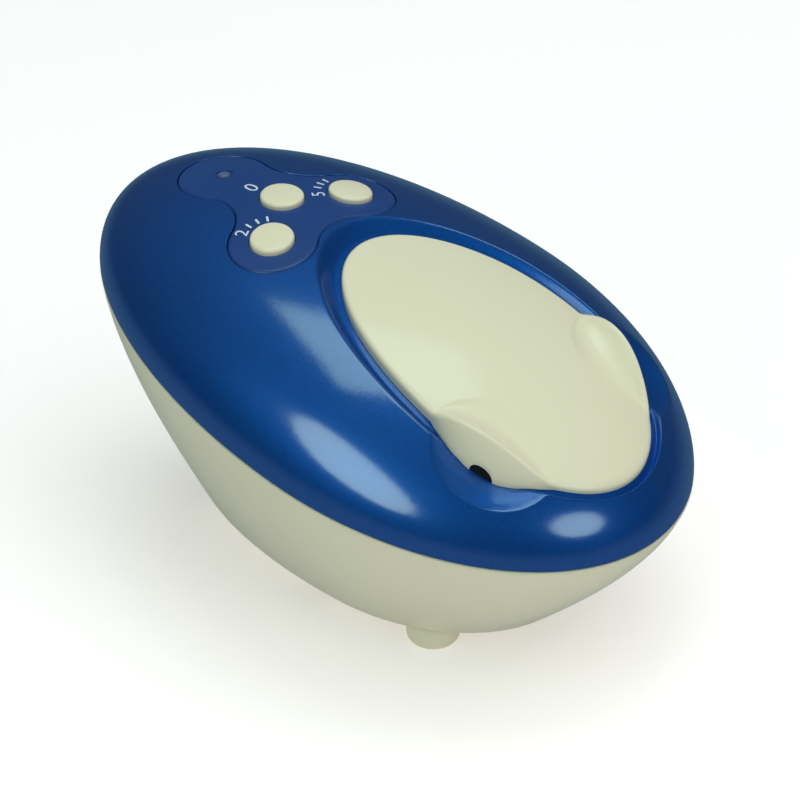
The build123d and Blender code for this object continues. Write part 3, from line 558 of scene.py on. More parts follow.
def panelOutline():
    # three lobes joined by outside arcs that touch them, drawn anticlockwise from the front
    lobe, key = np.array([0.0, panel["ledLobeY"]]), np.array([panel["keyX"], panel["keyY"]])
    lobeRadius, keyRadius, waistRadius = panel["ledLobeRadius"], panel["keyLobeRadius"], panel["waistRadius"]
    gap = np.linalg.norm(key - lobe)
    along = ((lobeRadius + waistRadius) ** 2 - (keyRadius + waistRadius) ** 2 + gap**2) / (2 * gap)
    out = math.sqrt((lobeRadius + waistRadius) ** 2 - along**2)
    unit = (key - lobe) / gap
    waist = lobe + unit * along + np.array([-unit[1], unit[0]]) * out
    drop = panel["keyY"] - panel["frontY"]
    frontRadius = (key[0] ** 2 + drop**2 - keyRadius**2) / (2 * (keyRadius - drop))
    front = np.array([0.0, panel["frontY"] - frontRadius])
    # right half, up to the rear middle; the lobes turn one way and the arcs between them the other
    arcs = [(front, frontRadius, -1), (key, keyRadius, 1), (waist, waistRadius, -1), (lobe, lobeRadius, 1)]
    half = []
    for i, (centre, radius, way) in enumerate(arcs):
        before = centre - arcs[i - 1][0] if i else np.array([0.0, -1.0])
        after = arcs[i + 1][0] - centre if i < 3 else np.array([0.0, 1.0])
        first, last = math.atan2(-before[1], -before[0]), math.atan2(after[1], after[0])
        half.append(arcPoints(centre, radius, first, first + way * (way * (last - first) % (2 * math.pi))))
    half = np.vstack(half)
    mirrored = half[1:][::-1] * np.array([-1, 1])
    return resample(np.vstack([half, [[0.0, panel["ledLobeY"] + lobeRadius]], mirrored]), 0.55)


trefoil = panelOutline()
trefoilOut = outward(trefoil)
keySpots = [(-panel["buttonX"], panel["buttonY"]), (panel["buttonX"], panel["buttonY"]), (0.0, panel["offY"])]


def panelHoles(keyRadius, ledRadius, keyCount=72, ledCount=40):
    # rings round the three buttons, then one round the indicator
    rings = [ring(x, y, keyRadius, keyCount) for x, y in keySpots]
    return rings + [ring(0.0, panel["ledY"], ledRadius, ledCount)]


seamAngles = turns(420)
chartEgg = egg(0.0, body["frontLength"], body["backLength"], body["halfWidth"], seamAngles)


def bodyEgg(inset):
    front, back, half = (body[key] - inset for key in ("frontLength", "backLength", "halfWidth"))
    return egg(body["widestY"], front, back, half, seamAngles)


def seamLoops(top, steps):
    # from the given loop through rings beside the seam, each at an inset and at a height from it
    plans = [(bodyEgg(inset), lift) for inset, lift in steps + [(body["wall"], 0.0)]]
    return [top] + [raised(plan, seamZ(plan[:, 1]) + lift) for plan, lift in plans]


upper = {
    "wellY": -32.0, "wellLength": 27.0, "wellWidth": 21.0, "wellWall": 2.0, "wellRound": 0.7,
    "lip": 3.0, "lipZ": 49.5, "floorZ": 48.0, "keyCut": 6.5, "ledCut": 3.0, "spacing": 2.0, "innerSpacing": 5.0,
    "seamSteps": [(0.0, 0.45), (0.12, 0.2), (0.3, 0.05), (0.45, 0.0)], "seamTurn": 0.012,
    "beside": (0.0, 0.12, -0.12, 0.3, -0.3, 0.6, -0.6, 1.1, -1.1), "sunkFrom": 0.15, "sunkRun": 0.8,
}


def wellRing(grow=0.0):
    length = upper["wellLength"] + grow
    return egg(upper["wellY"], length, length, upper["wellWidth"] + grow, turns(260))


def onTop(plan):
    x, y = plan.T
    return raised(plan, topZ(x, y, domeZ(x, y)))


def makeUpperHousing():
    # the chart ends a small turn short of the seam, where the rounded edge takes over
    outer = chartEgg * (math.pi / 2 - upper["seamTurn"])
    seatEdge = trefoil + trefoilOut * panel["seatRound"]
    wellEdge = wellRing(upper["wellRound"])
    creases = (rimLine, footLine, pocketEdge(1), pocketEdge(-1))
    beside = [(resample(planToChart(line), 0.6), upper["beside"], 0.25) for line in creases]
    beside.append((resample(planToChart((rimLine + footLine) / 2), 0.8), (0.0,), 0.5))
    beside += [(planToChart(line), (0.3, 0.8), 0.4) for line in (seatEdge, wellEdge)]
    beside.append((resample(outer, 1.2), (-0.4, -1.2), 0.8))
    flat, faces = fillPatch(outer, [planToChart(seatEdge), planToChart(wellEdge)], beside, upper["spacing"])
    x, y, dome = chartToPlan(flat)
    patches = [(np.column_stack([x, y, topZ(x, y, dome)]), faces)]
    # rounded lower edge at the seam, then the ledge that rests on the lower housing
    patches.append(bands(seamLoops(np.column_stack(chartToPlan(outer)), upper["seamSteps"])))
    # panel seat: rounded edge, wall and floor with the button holes
    wallTop = onDome(trefoil, 0.0, -panel["seatRound"])
    floorEdge = trefoil - trefoilOut * panel["floorInset"]
    floorLoop = onDome(floorEdge, panel["thickness"])
    rounded = bend(onDome(seatEdge), onDome(trefoil), wallTop, 4)
    patches.append(bands(rounded + [(wallTop + floorLoop) / 2, floorLoop]))
    cuts = panelHoles(upper["keyCut"], upper["ledCut"], 48, 32)
    flat, faces = fillPatch(floorEdge, cuts, [], 2.4)
    patches.append((onDome(flat, panel["thickness"]), faces))
    underPanel = panel["thickness"] + body["wall"]
    patches += [bands([onDome(cut, panel["thickness"]), onDome(cut, underPanel)]) for cut in cuts]
    # well: rounded mouth, wall, lip
    rimRing = onTop(wellRing())
    drop = rimRing - np.array([0, 0, upper["wellRound"]])
    foot = raised(wellRing(), upper["lipZ"] + 0.4)
    loops = bend(onTop(wellEdge), rimRing, drop, 5)
    loops += [drop + (foot - drop) * t for t in (0.25, 0.5, 0.75, 1.0)]
    lip = upper["lip"]
    for grow, lift in ((-0.12, 0.12), (-0.4, 0.0), (0.3 - lip, 0.0), (0.08 - lip, -0.08), (-lip, -0.3),
                       (-lip, upper["floorZ"] - upper["lipZ"])):
        loops.append(raised(wellRing(grow), upper["lipZ"] + lift))
    # inner side: under the lip, up the outside of the well, along the inside of the dome to the ledge
    wellOut = wellRing(upper["wellWall"])
    underRecess = recess["depth"] + body["wall"]
    patches.append(bands(loops + [raised(wellOut, upper["floorZ"]), onDome(wellOut, underRecess)]))
    innerHoles = [planToChart(cut) for cut in [wellOut] + cuts]
    flat, faces = fillPatch(planToChart(bodyEgg(body["wall"])), innerHoles, [], upper["innerSpacing"])
    x, y, _ = chartToPlan(flat)
    deep = np.minimum(domeZ(x, y, body["wall"]), topZ(x, y, domeZ(x, y), 0.2) - body["wall"])
    nearPanel = inside(np.column_stack([x, y]), trefoil + trefoilOut * body["wall"])
    deep = np.where(nearPanel, domeZ(x, y, underPanel), deep)
    acrossWell = x / (upper["wellWidth"] + upper["wellWall"])
    alongWell = (y - upper["wellY"]) / (upper["wellLength"] + upper["wellWall"])
    onWell = np.abs(np.hypot(acrossWell, alongWell) - 1) < 1e-3
    deep = np.where(onWell, domeZ(x, y, underRecess), np.maximum(deep, seamZ(y)))
    patches.append((np.column_stack([x, y, deep]), faces))
    return solid("upperHousingSkin", patches, blueLacquer, "upper_housing")


def markRecessShade(piece):
    # 0 on the dome and 1 well below it; the coat is made thinner in the recess so it mirrors less there, as
    # painted shade
    x, y, z = placesOf(piece.data).T / mm
    depth = np.clip((domeZ(x, y) - z - upper["sunkFrom"]) / upper["sunkRun"], 0, 1)
    piece.data.attributes.new("sunk", "FLOAT", "POINT").data.foreach_set("value", depth)


markRecessShade(makeUpperHousing())

lower = {
    "screwSpots": [(-22.0, 2.0), (22.0, 2.0), (-9.0, 45.0), (9.0, 45.0)],
    "counterbore": 3.1, "boreRound": 0.3, "shank": 1.7, "tube": 4.4, "bossDrop": 3.0, "web": 3.0,
    "baseShare": 0.36, "edgeShare": 0.022, "outerShare": 0.991, "innerShare": 0.99,
    "seamSteps": [(0.0, -0.5), (0.1, -0.2), (0.3, -0.05), (0.5, 0.0)],
    "inletZ": 40.0, "inletRadius": 5.8, "inletRound": 0.35, "inletBore": 4.15, "inletBoss": 7.4, "inletY": 64.5,
    "inletWeb": 3.0, "spacing": 2.4, "innerSpacing": 6.0,
    "beside": (0.0, 0.25, -0.25, 0.55, -0.55, 0.9, -0.9, 1.5, -1.5),
}


def hullPoint(c, s, rho, inset=0.0):
    # rings that shrink and level out on the way down; below the base share, the flat base
    t = np.clip((1 - rho) / (1 - lower["baseShare"]), 0, 1)
    sweep = t ** body["hullBulge"]
    front = body["frontLength"] * (1 - sweep) + body["baseFront"] * sweep
    back = body["backLength"] * (1 - sweep) + body["baseBack"] * sweep
    half = body["halfWidth"] * (1 - sweep) + body["baseHalfWidth"] * sweep
    slope = (1 - t) * body["seamSlope"] * (body["frontLength"] + body["backLength"]) / (front + back)
    height = (1 - t) * body["seamHeight"] + t * (body["baseHeight"] + inset)
    flat = np.minimum(rho / lower["baseShare"], 1)
    reach = np.where(s < 0, front, back) - inset
    x = (half - inset) * c * flat
    y = body["widestY"] + reach * s * flat
    return np.stack([x, y, height + slope * (y - body["widestY"])], -1)


def hullSurface(chart, inset=0.0):
    # chart: the egg outline shrunk to rho; the base edge is rounded over a short stretch of rho
    c, s = chart[:, 0] / body["halfWidth"], chart[:, 1] / lengthAt(chart[:, 1] < 0)
    rho = np.hypot(c, s)
    safe = np.maximum(rho, 1e-9)
    c, s = c / safe, s / safe
    base, wide = lower["baseShare"], lower["edgeShare"]
    t = np.clip((rho - base + wide) / (2 * wide), 0, 1)[:, None]
    low, corner, high = (hullPoint(c, s, np.full(len(rho), base + k * wide), inset) for k in (-1, 0, 1))
    curved = (1 - t) ** 2 * low + 2 * t * (1 - t) * corner + t * t * high
    return np.where(np.abs(rho - base)[:, None] < wide, curved, hullPoint(c, s, rho, inset))


def baseChart(plan, inset=0.0):
    # points of the flat base, or of its inner side, on the chart
    reach = np.where(plan[:, 1] < body["widestY"], body["baseFront"], body["baseBack"]) - inset
    c, s = plan[:, 0] / (body["baseHalfWidth"] - inset), (plan[:, 1] - body["widestY"]) / reach
    return np.stack([c * body["halfWidth"], s * lengthAt(s < 0)], 1) * lower["baseShare"]


def inletChart(radius, count=64):
    # where a level rod through the rear wall meets the hull: the ring height is found by halving
    x, z = ring(0.0, lower["inletZ"], radius, count).T
    low, high = np.full(count, lower["baseShare"]), np.ones(count)
    for _ in range(40):
        rho = (low + high) / 2
        t = (1 - rho) / (1 - lower["baseShare"])
        half = body["halfWidth"] + (body["baseHalfWidth"] - body["halfWidth"]) * t ** body["hullBulge"]
        c = x / half
        s = np.sqrt(1 - c * c)
        under = hullPoint(c, s, rho)[:, 2] < z
        low, high = np.where(under, rho, low), np.where(under, high, rho)
    return np.stack([c * rho * body["halfWidth"], s * rho * body["backLength"]], 1), x, z


def makeLowerHousing():
    outer, innerTop, base = (chartEgg * lower[share] for share in ("outerShare", "innerShare", "baseShare"))
    bore, rounding = lower["counterbore"], lower["boreRound"]
    screwRings = [baseChart(ring(x, y, bore + rounding, 40)) for x, y in lower["screwSpots"]]
    inletEdge = inletChart(lower["inletRadius"] + lower["inletRound"])[0]
    beside = [(resample(base, 0.7), lower["beside"], 0.35), (resample(outer, 1.2), (-0.5, -1.4), 0.8)]
    flat, faces = fillPatch(outer, screwRings + [inletEdge], beside, lower["spacing"])
    patches = [(hullSurface(flat), faces)]
    loops = seamLoops(hullSurface(outer), lower["seamSteps"])
    patches.append(bands(loops + [hullSurface(innerTop, body["wall"])]))
    # counterbores: short rounding, deep tube, seat for the screw head and the shank hole
    innerRings = []
    baseZ, tube = body["baseHeight"], lower["tube"]
    for x, y in lower["screwSpots"]:
        seat = float(seamZ(y)) - lower["bossDrop"] - lower["web"]
        levels = [(bore + rounding, baseZ), (bore + 0.08, baseZ + 0.08), (bore, baseZ + rounding),
                  (bore, (baseZ + rounding + seat) / 2), (bore, seat), (lower["shank"], seat),
                  (lower["shank"], seat + lower["web"]), (tube, seat + lower["web"]),
                  (tube, baseZ + body["wall"])]
        patches.append(bands([raised(ring(x, y, radius, 40), z) for radius, z in levels]))
        innerRings.append(baseChart(ring(x, y, tube, 40), body["wall"]))
    boss = inletChart(lower["inletBoss"])[0]
    innerRings.append(boss)
    flat, faces = fillPatch(innerTop, innerRings, [(resample(base, 3.0), (0.0,), 2.0)], lower["innerSpacing"])
    patches.append((hullSurface(flat, body["wall"]), faces))
    # inlet: pocket in the rear wall with a flat floor, then the bore and the boss round it
    chart, x, z = inletChart(lower["inletRadius"])
    edge = hullSurface(chart)
    deeper = edge + np.array([0, -0.5, 0])
    floorY, bossY = lower["inletY"], lower["inletY"] - lower["inletWeb"]
    floor = np.column_stack([x, np.full(len(x), floorY), z])
    loops = bend(hullSurface(inletEdge), edge, deeper, 3) + [(deeper + floor) / 2, floor]
    for radius, y in ((lower["inletBore"], floorY), (lower["inletBore"], bossY), (lower["inletBoss"], bossY)):
        upright = ring(0.0, lower["inletZ"], radius, len(x))
        loops.append(np.column_stack([upright[:, 0], np.full(len(x), y), upright[:, 1]]))
    patches.append(bands(loops + [hullSurface(boss, body["wall"])]))
    return solid("lowerHousingSkin", patches, ivoryHullShaded, "lower_housing")


makeLowerHousing()


def lidEgg(angles):
    return egg(recess["lidY"], lid["front"], lid["back"], lid["halfWidth"], angles)


def scoopEdgeX(y, ridgeX):
    # inner edge of the hollow beside an ear: part of a circle that keeps clear of the ridge
    scoopHalf = np.sqrt(np.maximum(lid["scoopRadius"] ** 2 - (y - lid["scoopY"]) ** 2, 0))
    return np.minimum(lid["scoopX"] - scoopHalf, ridgeX - lid["ridgeGap"])


def lidZ(x, y):
    # dome a little sunk; beside each ear a hollow that rises to the ridge of the ear
    plain = domeZ(x, y, lid["sink"])
    swell = earSwell(y)
    ridgeX = np.maximum(lidEdgeX(y) + lid["earTip"] * swell, 1.0)
    ridgeZ = domeZ(ridgeX, y, lid["sink"]) + lid["earHeight"] * swell
    innerX = scoopEdgeX(y, ridgeX)
    innerZ = domeZ(innerX, y, lid["sink"])
    w = (np.abs(x) - innerX) / (ridgeX - innerX)
    sag = 4.5 * (lid["scoopDip"] + lid["earHeight"] / 4)
    scoop = innerZ + w * (ridgeZ - innerZ) - sag * swell * w * (1 - w)
    eased = softMin(plain, scoop, lid["scoopRound"] * swell + 1e-6)
    return np.where(swell > 0, np.where(w > lid["scoopEase"], scoop, eased), plain)


def lidAngles():
    # even steps round the outline, closer together round the notch in each ear
    fine = turns(4000)
    run = runAlong(lidEgg(fine))
    even = np.interp(np.arange(0, run[-1], 0.75), run, fine)
    arc = lid["notchY"] + lid["notchRadius"] * np.cos(np.linspace(0, np.pi, 25))
    right = np.arcsin((arc - recess["lidY"]) / lid["front"]) + 2 * np.pi
    left = 3 * np.pi - right
    for notch in (left, right):
        even = even[(even < notch.min() - 0.004) | (even > notch.max() + 0.004)]
    return np.sort(np.concatenate([even, left, right]))


def lidLines(topLoop):
    # lines of closer points for the top: inside its edge and along the crease of each scoop
    lines = [(resample(topLoop, 0.8), (-0.35, -0.8, -1.4), 0.35)]
    y = np.linspace(lid["earY"] - lid["earLength"] / 2, lid["earY"] + lid["earLength"] / 2, 60)
    x = scoopEdgeX(y, lidEdgeX(y))
    for side in (-1, 1):
        there, back = np.stack([side * x, y], 1), np.stack([side * (x + 0.05), y], 1)[::-1]
        loop = resample(np.vstack([there, back]), 0.6)
        lines.append((loop, (0.0, 0.25, -0.25, 0.55, -0.55, 0.9, -0.9), 0.28))
    return lines


def ribRing(a, inset):
    # the rib under the lid in the direction of each point of the outline
    length, width = lid["ribLength"] - inset, lid["ribWidth"] - inset
    y0 = recess["lidY"] + 2.0 - upper["wellY"]
    c, s = np.cos(a), np.sin(a)
    qa = (c / width) ** 2 + (s / length) ** 2
    qb = 2 * s * y0 / length**2
    qc = (y0 / length) ** 2 - 1
    r = (-qb + np.sqrt(qb**2 - 4 * qa * qc)) / (2 * qa)
    return np.stack([r * c, upper["wellY"] + y0 + r * s], 1)


def makeLid():
    angles = lidAngles()
    edge = lidEgg(angles)
    out = outward(edge)
    swell = earSwell(edge[:, 1])
    bulge = np.stack([swell * np.sign(np.cos(angles)), np.zeros(len(angles))], 1)
    ridge = edge + lid["earTip"] * bulge
    roundness = lid["edgeRound"] + (lid["ridgeRound"] - lid["edgeRound"]) * np.minimum(swell * 3, 1)
    topLoop = ridge - out * roundness[:, None]
    flat, faces = fillPatch(topLoop, [], lidLines(topLoop), 1.5)
    patches = [(raised(flat, lidZ(*flat.T)), faces)]
    # edge and ear wall: rounded over at the top, cut at the bottom by the notch
    corner = onDome(ridge, lid["sink"], lid["earHeight"] * swell)
    foot = ridge + lid["earBulge"] * bulge
    foot = raised(foot, np.minimum(recessFloorZ(*foot.T), pocketZ(*foot.T)) + lid["floorGap"])
    notchRise = np.sqrt(np.maximum(lid["notchRadius"] ** 2 - (edge[:, 1] - lid["notchY"]) ** 2, 0))
    fall = foot - corner
    fallSize = np.linalg.norm(fall, axis=1)
    wallTop = corner + fall * (np.minimum(roundness, 0.7 * fallSize) / fallSize)[:, None]
    low = foot + fall * (notchRise / fall[:, 2])[:, None]
    wall = [wallTop + (low - wallTop) * t for t in (0.2, 0.4, 0.6, 0.8, 0.97)]
    inset = raised(out * lid["footInset"], 0.0)
    hollow = raised(out * lid["notchDepth"], 0.0)
    patches.append(bands(bend(raised(topLoop, lidZ(*topLoop.T)), corner, wallTop, 6) + wall + [low - inset]))
    # underneath: the notch closes on a dark face, painted shade standing in for the shade of the hollow behind
    # it; the rest runs level to the rib
    notched = notchRise > 0.02
    inward = low - inset - hollow
    closed = np.where(notched[:, None], foot - inset - hollow, inward)
    points, quads = bands([low - inset, inward, closed])
    patches.append((points, quads, np.tile(np.where(notched & np.roll(notched, -1), 1, 0), 2)))
    a = np.arctan2(foot[:, 1] - recess["lidY"] - 2.0, foot[:, 0])
    ribOut, ribIn = ribRing(a, 0.0), ribRing(a, lid["ribWall"])
    seat = recess["depth"] - lid["floorGap"]
    deep = recess["depth"] + lid["ribDepth"]
    outside = [onDome(ribOut, seat), onDome(ribOut, deep - 0.3), onDome(ribOut * [0.995, 1], deep)]
    patches.append(bands([closed] + outside + [onDome(ribIn, deep), onDome(ribIn, seat)]))
    middle = np.array([[0.0, upper["wellY"]]])
    inner = [onDome(ribIn + (middle - ribIn) * t, seat) for t in (0.0, 0.25, 0.5, 0.75, 0.985)]
    patches.append(bands(inner))
    fan = np.arange(len(ribIn))
    patches.append((np.vstack([inner[-1], onDome(middle, seat)]),
                    np.stack([fan, np.roll(fan, -1), np.full(len(fan), len(fan))], 1)))
    return solid("lidShell", patches, ivoryGloss, "lid", "lid", crease=50, extra=[paintedNotchShade])


makeLid()


def makePanel():
    edge = trefoil - trefoilOut * panel["seat"]
    topLoop = edge - trefoilOut * panel["edgeRound"]
    ledY, ledRadius = panel["ledY"], panel["ledRadius"]
    dishRadius = ledRadius + panel["ledSink"]
    holes = panelHoles(panel["keyHole"] + panel["holeRound"], dishRadius)
    cuts = panelHoles(panel["keyHole"], ledRadius + panel["boreGap"])
    beside = [(hole, (0.3, 0.8), 0.25) for hole in holes] + [(topLoop, (-0.4, -1.0), 0.35)]
    flat, faces = fillPatch(topLoop, holes, beside, 1.6)
    patches = [(onDome(flat), faces)]
    under = panel["thickness"] - panel["underGap"]
    rounded = bend(onDome(topLoop), onDome(edge), onDome(edge, 0.0, -panel["edgeRound"]), 5)
    patches.append(bands(rounded + [onDome(edge, under)]))
    for hole, cut in zip(holes[:3], cuts[:3]):
        rounded = bend(onDome(hole), onDome(cut), onDome(cut, 0.0, -panel["holeRound"]), 3)
        patches.append(bands(rounded + [onDome(cut, under)]))
    # shallow dish round the indicator
    dish = ring(0.0, ledY, dishRadius - panel["dishRound"], 40)
    rounded = bend(onDome(holes[3]), onDome(dish), onDome(dish, panel["dishDepth"]), 3)
    patches.append(bands(rounded + [onDome(cuts[3], panel["dishLow"]), onDome(cuts[3], under)]))
    flat, faces = fillPatch(edge, cuts, [], 3.0)
    patches.append((onDome(flat, under), faces))
    return solid("controlPanelCover", patches, panelBlue, "control_panel")


makePanel()


def turned(x0, y0, profile, count=96):
    # rings about an upright axis; each is at a radius and at a depth below the dome, or at a level
    loops = []
    for radius, depth, level in profile:
        plan = ring(x0, y0, radius, count)
        loops.append(onDome(plan, depth) if level is None else raised(plan, level))
    return bands(loops)


def edgeArc(radius, start, size, steps):
    # quarter round from a level face at the start depth over to the side
    arc = np.linspace(0, np.pi / 2, steps)
    return [(radius - size + size * math.sin(t), start + size * (1 - math.cos(t))) for t in arc]


button = {
    "radius": 4.9, "proud": 1.3, "crown": 0.15, "round": 0.75, "waist": 0.6, "flange": 6.1, "flangeTop": 1.7,
    "flangeLow": 2.6, "stem": 1.8, "stemLow": 72.95,
}


def makeButton(name, node, bodyName, x, y):
    # slightly hollow top, rounded edge, side, then the flange and the stem under the panel
    radius, shoulder = button["radius"], button["radius"] - button["round"]
    flange, stem = button["flange"], button["stem"]
    crown = [(r, button["crown"] * (r / shoulder) ** 2 - button["proud"]) for r in (0.02, 0.8, 1.6, 2.4, 3.2)]
    edge = edgeArc(radius, button["crown"] - button["proud"], button["round"], 8)
    rest = [(radius, button["waist"]), (radius, button["flangeTop"]), (flange, button["flangeTop"] + 0.02),
            (flange, button["flangeLow"]), (stem, button["flangeLow"])]
    profile = [(r, depth, None) for r, depth in crown + edge + rest]
    profile += [(stem, 0, button["stemLow"]), (0.02, 0, button["stemLow"])]
    return solid(name, [turned(x, y, profile)], ivoryGloss, node, bodyName)


makeButton("buttonTwo", "button_2min", "key_2min", *keySpots[0])
makeButton("buttonFive", "button_5min", "key_5min", *keySpots[1])
makeButton("buttonOff", "button_off", "key_off", *keySpots[2])

lens = {
    "radius": 1.45, "proud": 0.4, "bulge": 0.75, "flange": 2.3, "flangeTop": 1.6, "flangeLow": 2.4,
    "rod": 1.4, "low": 3.2,
}


def makeLens():
    # domed top, side, flange and the light rod below it
    arc = np.linspace(0.015, np.pi / 2, 9)
    profile = [(lens["radius"] * math.sin(t), lens["bulge"] * (1 - math.cos(t)) - lens["proud"]) for t in arc]
    profile += [(lens["radius"], lens["flangeTop"]), (lens["flange"], lens["flangeTop"] + 0.05),
                (lens["flange"], lens["flangeLow"]), (lens["rod"], lens["flangeLow"] + 0.05),
                (lens["rod"], lens["low"]), (0.02, lens["low"])]
    patch = turned(0.0, panel["ledY"], [(r, depth, None) for r, depth in profile], 48)
    return solid("indicatorLens", [patch], clearLens, "led_lens")


makeLens()

foot = {
    "radius": 5.9, "round": 1.8, "hollow": 2.6, "hollowRound": 0.4, "hollowDepth": 0.12, "taperFrom": 4.0,
    "top": 5.98, "stem": 2.3, "stemTop": 8.8,
    "spots": {"foot_front_left": (-17.8, -28.5), "foot_front_right": (17.8, -28.5), "foot_rear": (0.0, 30.0)},
}


def makeFoot(node, x, y):
    # pad with a hollow in its underside and a stem that goes through the base
    radius, top, hollow = foot["radius"], foot["top"], foot["hollow"]
    profile = [(0.02, foot["hollowDepth"]), (hollow, foot["hollowDepth"]), (hollow + foot["hollowRound"], 0.0)]
    profile += edgeArc(radius, 0.0, foot["round"], 9)
    profile += [(radius, foot["taperFrom"]), (radius - 0.02, top - 0.38), (radius - 0.3, top),
                (foot["stem"], top), (foot["stem"], foot["stemTop"]), (0.02, foot["stemTop"])]
    patch = turned(x, y, [(r, 0, z) for r, z in profile], 80)
    return solid(node.replace("_", ".") + ".pad", [patch], ivoryRubber, node)


for node, (x, y) in foot["spots"].items():
    makeFoot(node, x, y)

legends = {
    "lift": 0.035,
    "items": [("0", -1.1, 38.7, 0.0, 5.0), ("2", -14.9, 28.9, 22.0, 4.2), ("5", 6.9, 26.0, 52.0, 4.2)],
    "tickSpan": (6.5, 8.3), "tickWidth": 0.5, "ticks": [(0, (86, 68, 50)), (1, (122, 106, 90))],
}


def swung(plan, spot, angle):
    # turned about the origin, then moved to the spot
    c, s = math.cos(angle), math.sin(angle)
    return plan @ np.array([[c, s], [-s, c]]) + spot


def makeLegend(index, text, x, y, turn, size):
    # flat letters laid over the panel a hair above its surface
    curve = bpy.data.curves.new("legendCurve", "FONT")
    curve.body = text
    curve.size = size
    curve.align_x = "CENTER"
    curve.align_y = "CENTER"
    shape = linked("legendShape", curve)
    bpy.context.view_layer.update()
    mesh = bpy.data.meshes.new_from_object(shape)
    bpy.data.objects.remove(shape)
    work = bmesh.new()
    work.from_mesh(mesh)
    bmesh.ops.triangulate(work, faces=work.faces)
    bmesh.ops.subdivide_edges(work, edges=[e for e in work.edges if e.calc_length() > 0.8], cuts=1)
    bmesh.ops.triangulate(work, faces=work.faces)
    work.to_mesh(mesh)
    work.free()
    plan = swung(placesOf(mesh)[:, :2], (x, y), math.radians(turn))
    mesh.vertices.foreach_set("co", (onDome(plan, 0.0, legends["lift"]) * mm).ravel())
    mesh.update()
    mesh.name = "legend." + str(index)
    piece = linked(mesh.name, mesh)
    mesh.materials.clear()
    mesh.materials.append(paleInk)
    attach(piece, "case")
    return piece


def makeTicks():
    # short bars set round two of the buttons, each a strip of quads a hair above the panel
    strips = []
    across = (legends["tickWidth"] / 2, -legends["tickWidth"] / 2)
    sides = [np.stack([np.linspace(*legends["tickSpan"], 4), np.full(4, k)], 1) for k in across]
    for key, bearings in legends["ticks"]:
        for bearing in np.radians(bearings):
            loops = [onDome(swung(side, keySpots[key], bearing), 0.0, legends["lift"]) for side in sides]
            strips.append(bands(loops, closed=False))
    return solid("legend.ticks", strips, paleInk)


for index, item in enumerate(legends["items"]):
    makeLegend(index, *item)
makeTicks()
print("pieces made")

# finishes of the pieces that keep their CAD shape: the pieces, both colours, gloss, dull, broad
# scale, and what differs from the usual
finishes = {
    "drawnSteel": ("tank", (196, 198, 198), (184, 187, 188), 0.2, 0.32, 60.0,
                   {"grainScale": 900.0, "bump": 0.015, "Metallic": 0.5}),
    "zincScrew": ("button_board_screws case_screws main_board_screws tank_screws",
                  (176, 178, 180), (150, 153, 156), 0.28, 0.42, 300.0,
                  {"grainScale": 2200.0, "bump": 0.04, "Metallic": 0.6}),
    "siliconeSeal": ("tank_gasket", (196, 198, 194), (182, 184, 180), 0.5, 0.62, 80.0, {}),
    "blackPlastic": ("tact_switches transistor control_chip power_inlet", (26, 27, 29), (18, 19, 21),
                     0.35, 0.5, 70.0, {}),
    "greyPlastic": ("tank_clamp ribbon_cable", (112, 114, 118), (98, 100, 104), 0.4, 0.55, 70.0, {}),
    "boardGreen": ("button_board main_board", (24, 96, 52), (16, 78, 40), 0.3, 0.42, 120.0, {}),
    "piezoCeramic": ("piezo_disc", (206, 198, 176), (190, 182, 160), 0.45, 0.6, 90.0, {}),
    "ferriteCore": ("choke_core", (46, 46, 50), (34, 34, 38), 0.55, 0.7, 90.0, {}),
    "copperWire": ("choke_winding", (190, 104, 52), (166, 84, 38), 0.25, 0.4, 400.0, {"Metallic": 1.0}),
    "sinkAluminium": ("heat_sink", (170, 172, 176), (150, 152, 156), 0.35, 0.5, 120.0, {"Metallic": 1.0}),
    "capacitorSleeve": ("capacitors", (28, 34, 66), (20, 24, 52), 0.3, 0.42, 90.0, {}),
    "whiteSocket": ("lead_sockets", (226, 224, 214), (214, 212, 202), 0.4, 0.55, 90.0, {}),
    "holderWhite": ("lens_holder cup_cap_front cup_cap_back", (232, 234, 232), (224, 227, 226),
                    0.28, 0.38, 50.0, {}),
    "ledRed": ("indicator_led", (170, 24, 22), (150, 16, 16), 0.15, 0.25, 90.0, {"bump": 0.0}),
    "leadRed": ("piezo_leads power_leads", (168, 30, 26), (148, 22, 20), 0.4, 0.5, 120.0, {}),
}

for name, (nodes, *values, differing) in finishes.items():
    finish = moulded(name, *values, **differing)
    for node in nodes.split():
        slots = cadNodes[node].data.materials
        slots.clear()
        slots.append(finish)
print("finishes set")

stage = {
    "floorSize": 6.0, "floorColour": (245, 237, 238), "floorGlow": 0.34,
    "bright": (0.055, 0.085, 0.105, 1), "dark": (0.012, 0.018, 0.025, 1), "brightSide": (0.6, 0.5, 0.5),
    "below": (0.085, 0.16, 0.21, 1), "belowFrom": 0.02, "belowTo": -0.22,
}


def makeFloor():
    # lit by the lamps and not mirrored in the piece
    half = stage["floorSize"]
    mesh = bpy.data.meshes.new("studioFloor")
    corners = [(-half, -half, 0), (half, -half, 0), (half, half, 0), (-half, half, 0)]
    mesh.from_pydata(corners, [], [(0, 1, 2, 3)])
    colour = stage["floorColour"]
    mesh.materials.append(moulded("paperFloor", colour, colour, 0.7, 0.8, 8.0, bump=0.0,
                                  Emission_Color=(1, 1, 1, 1), Emission_Strength=stage["floorGlow"]))
    floor = linked("studioFloor", mesh)
    floor.visible_glossy = False


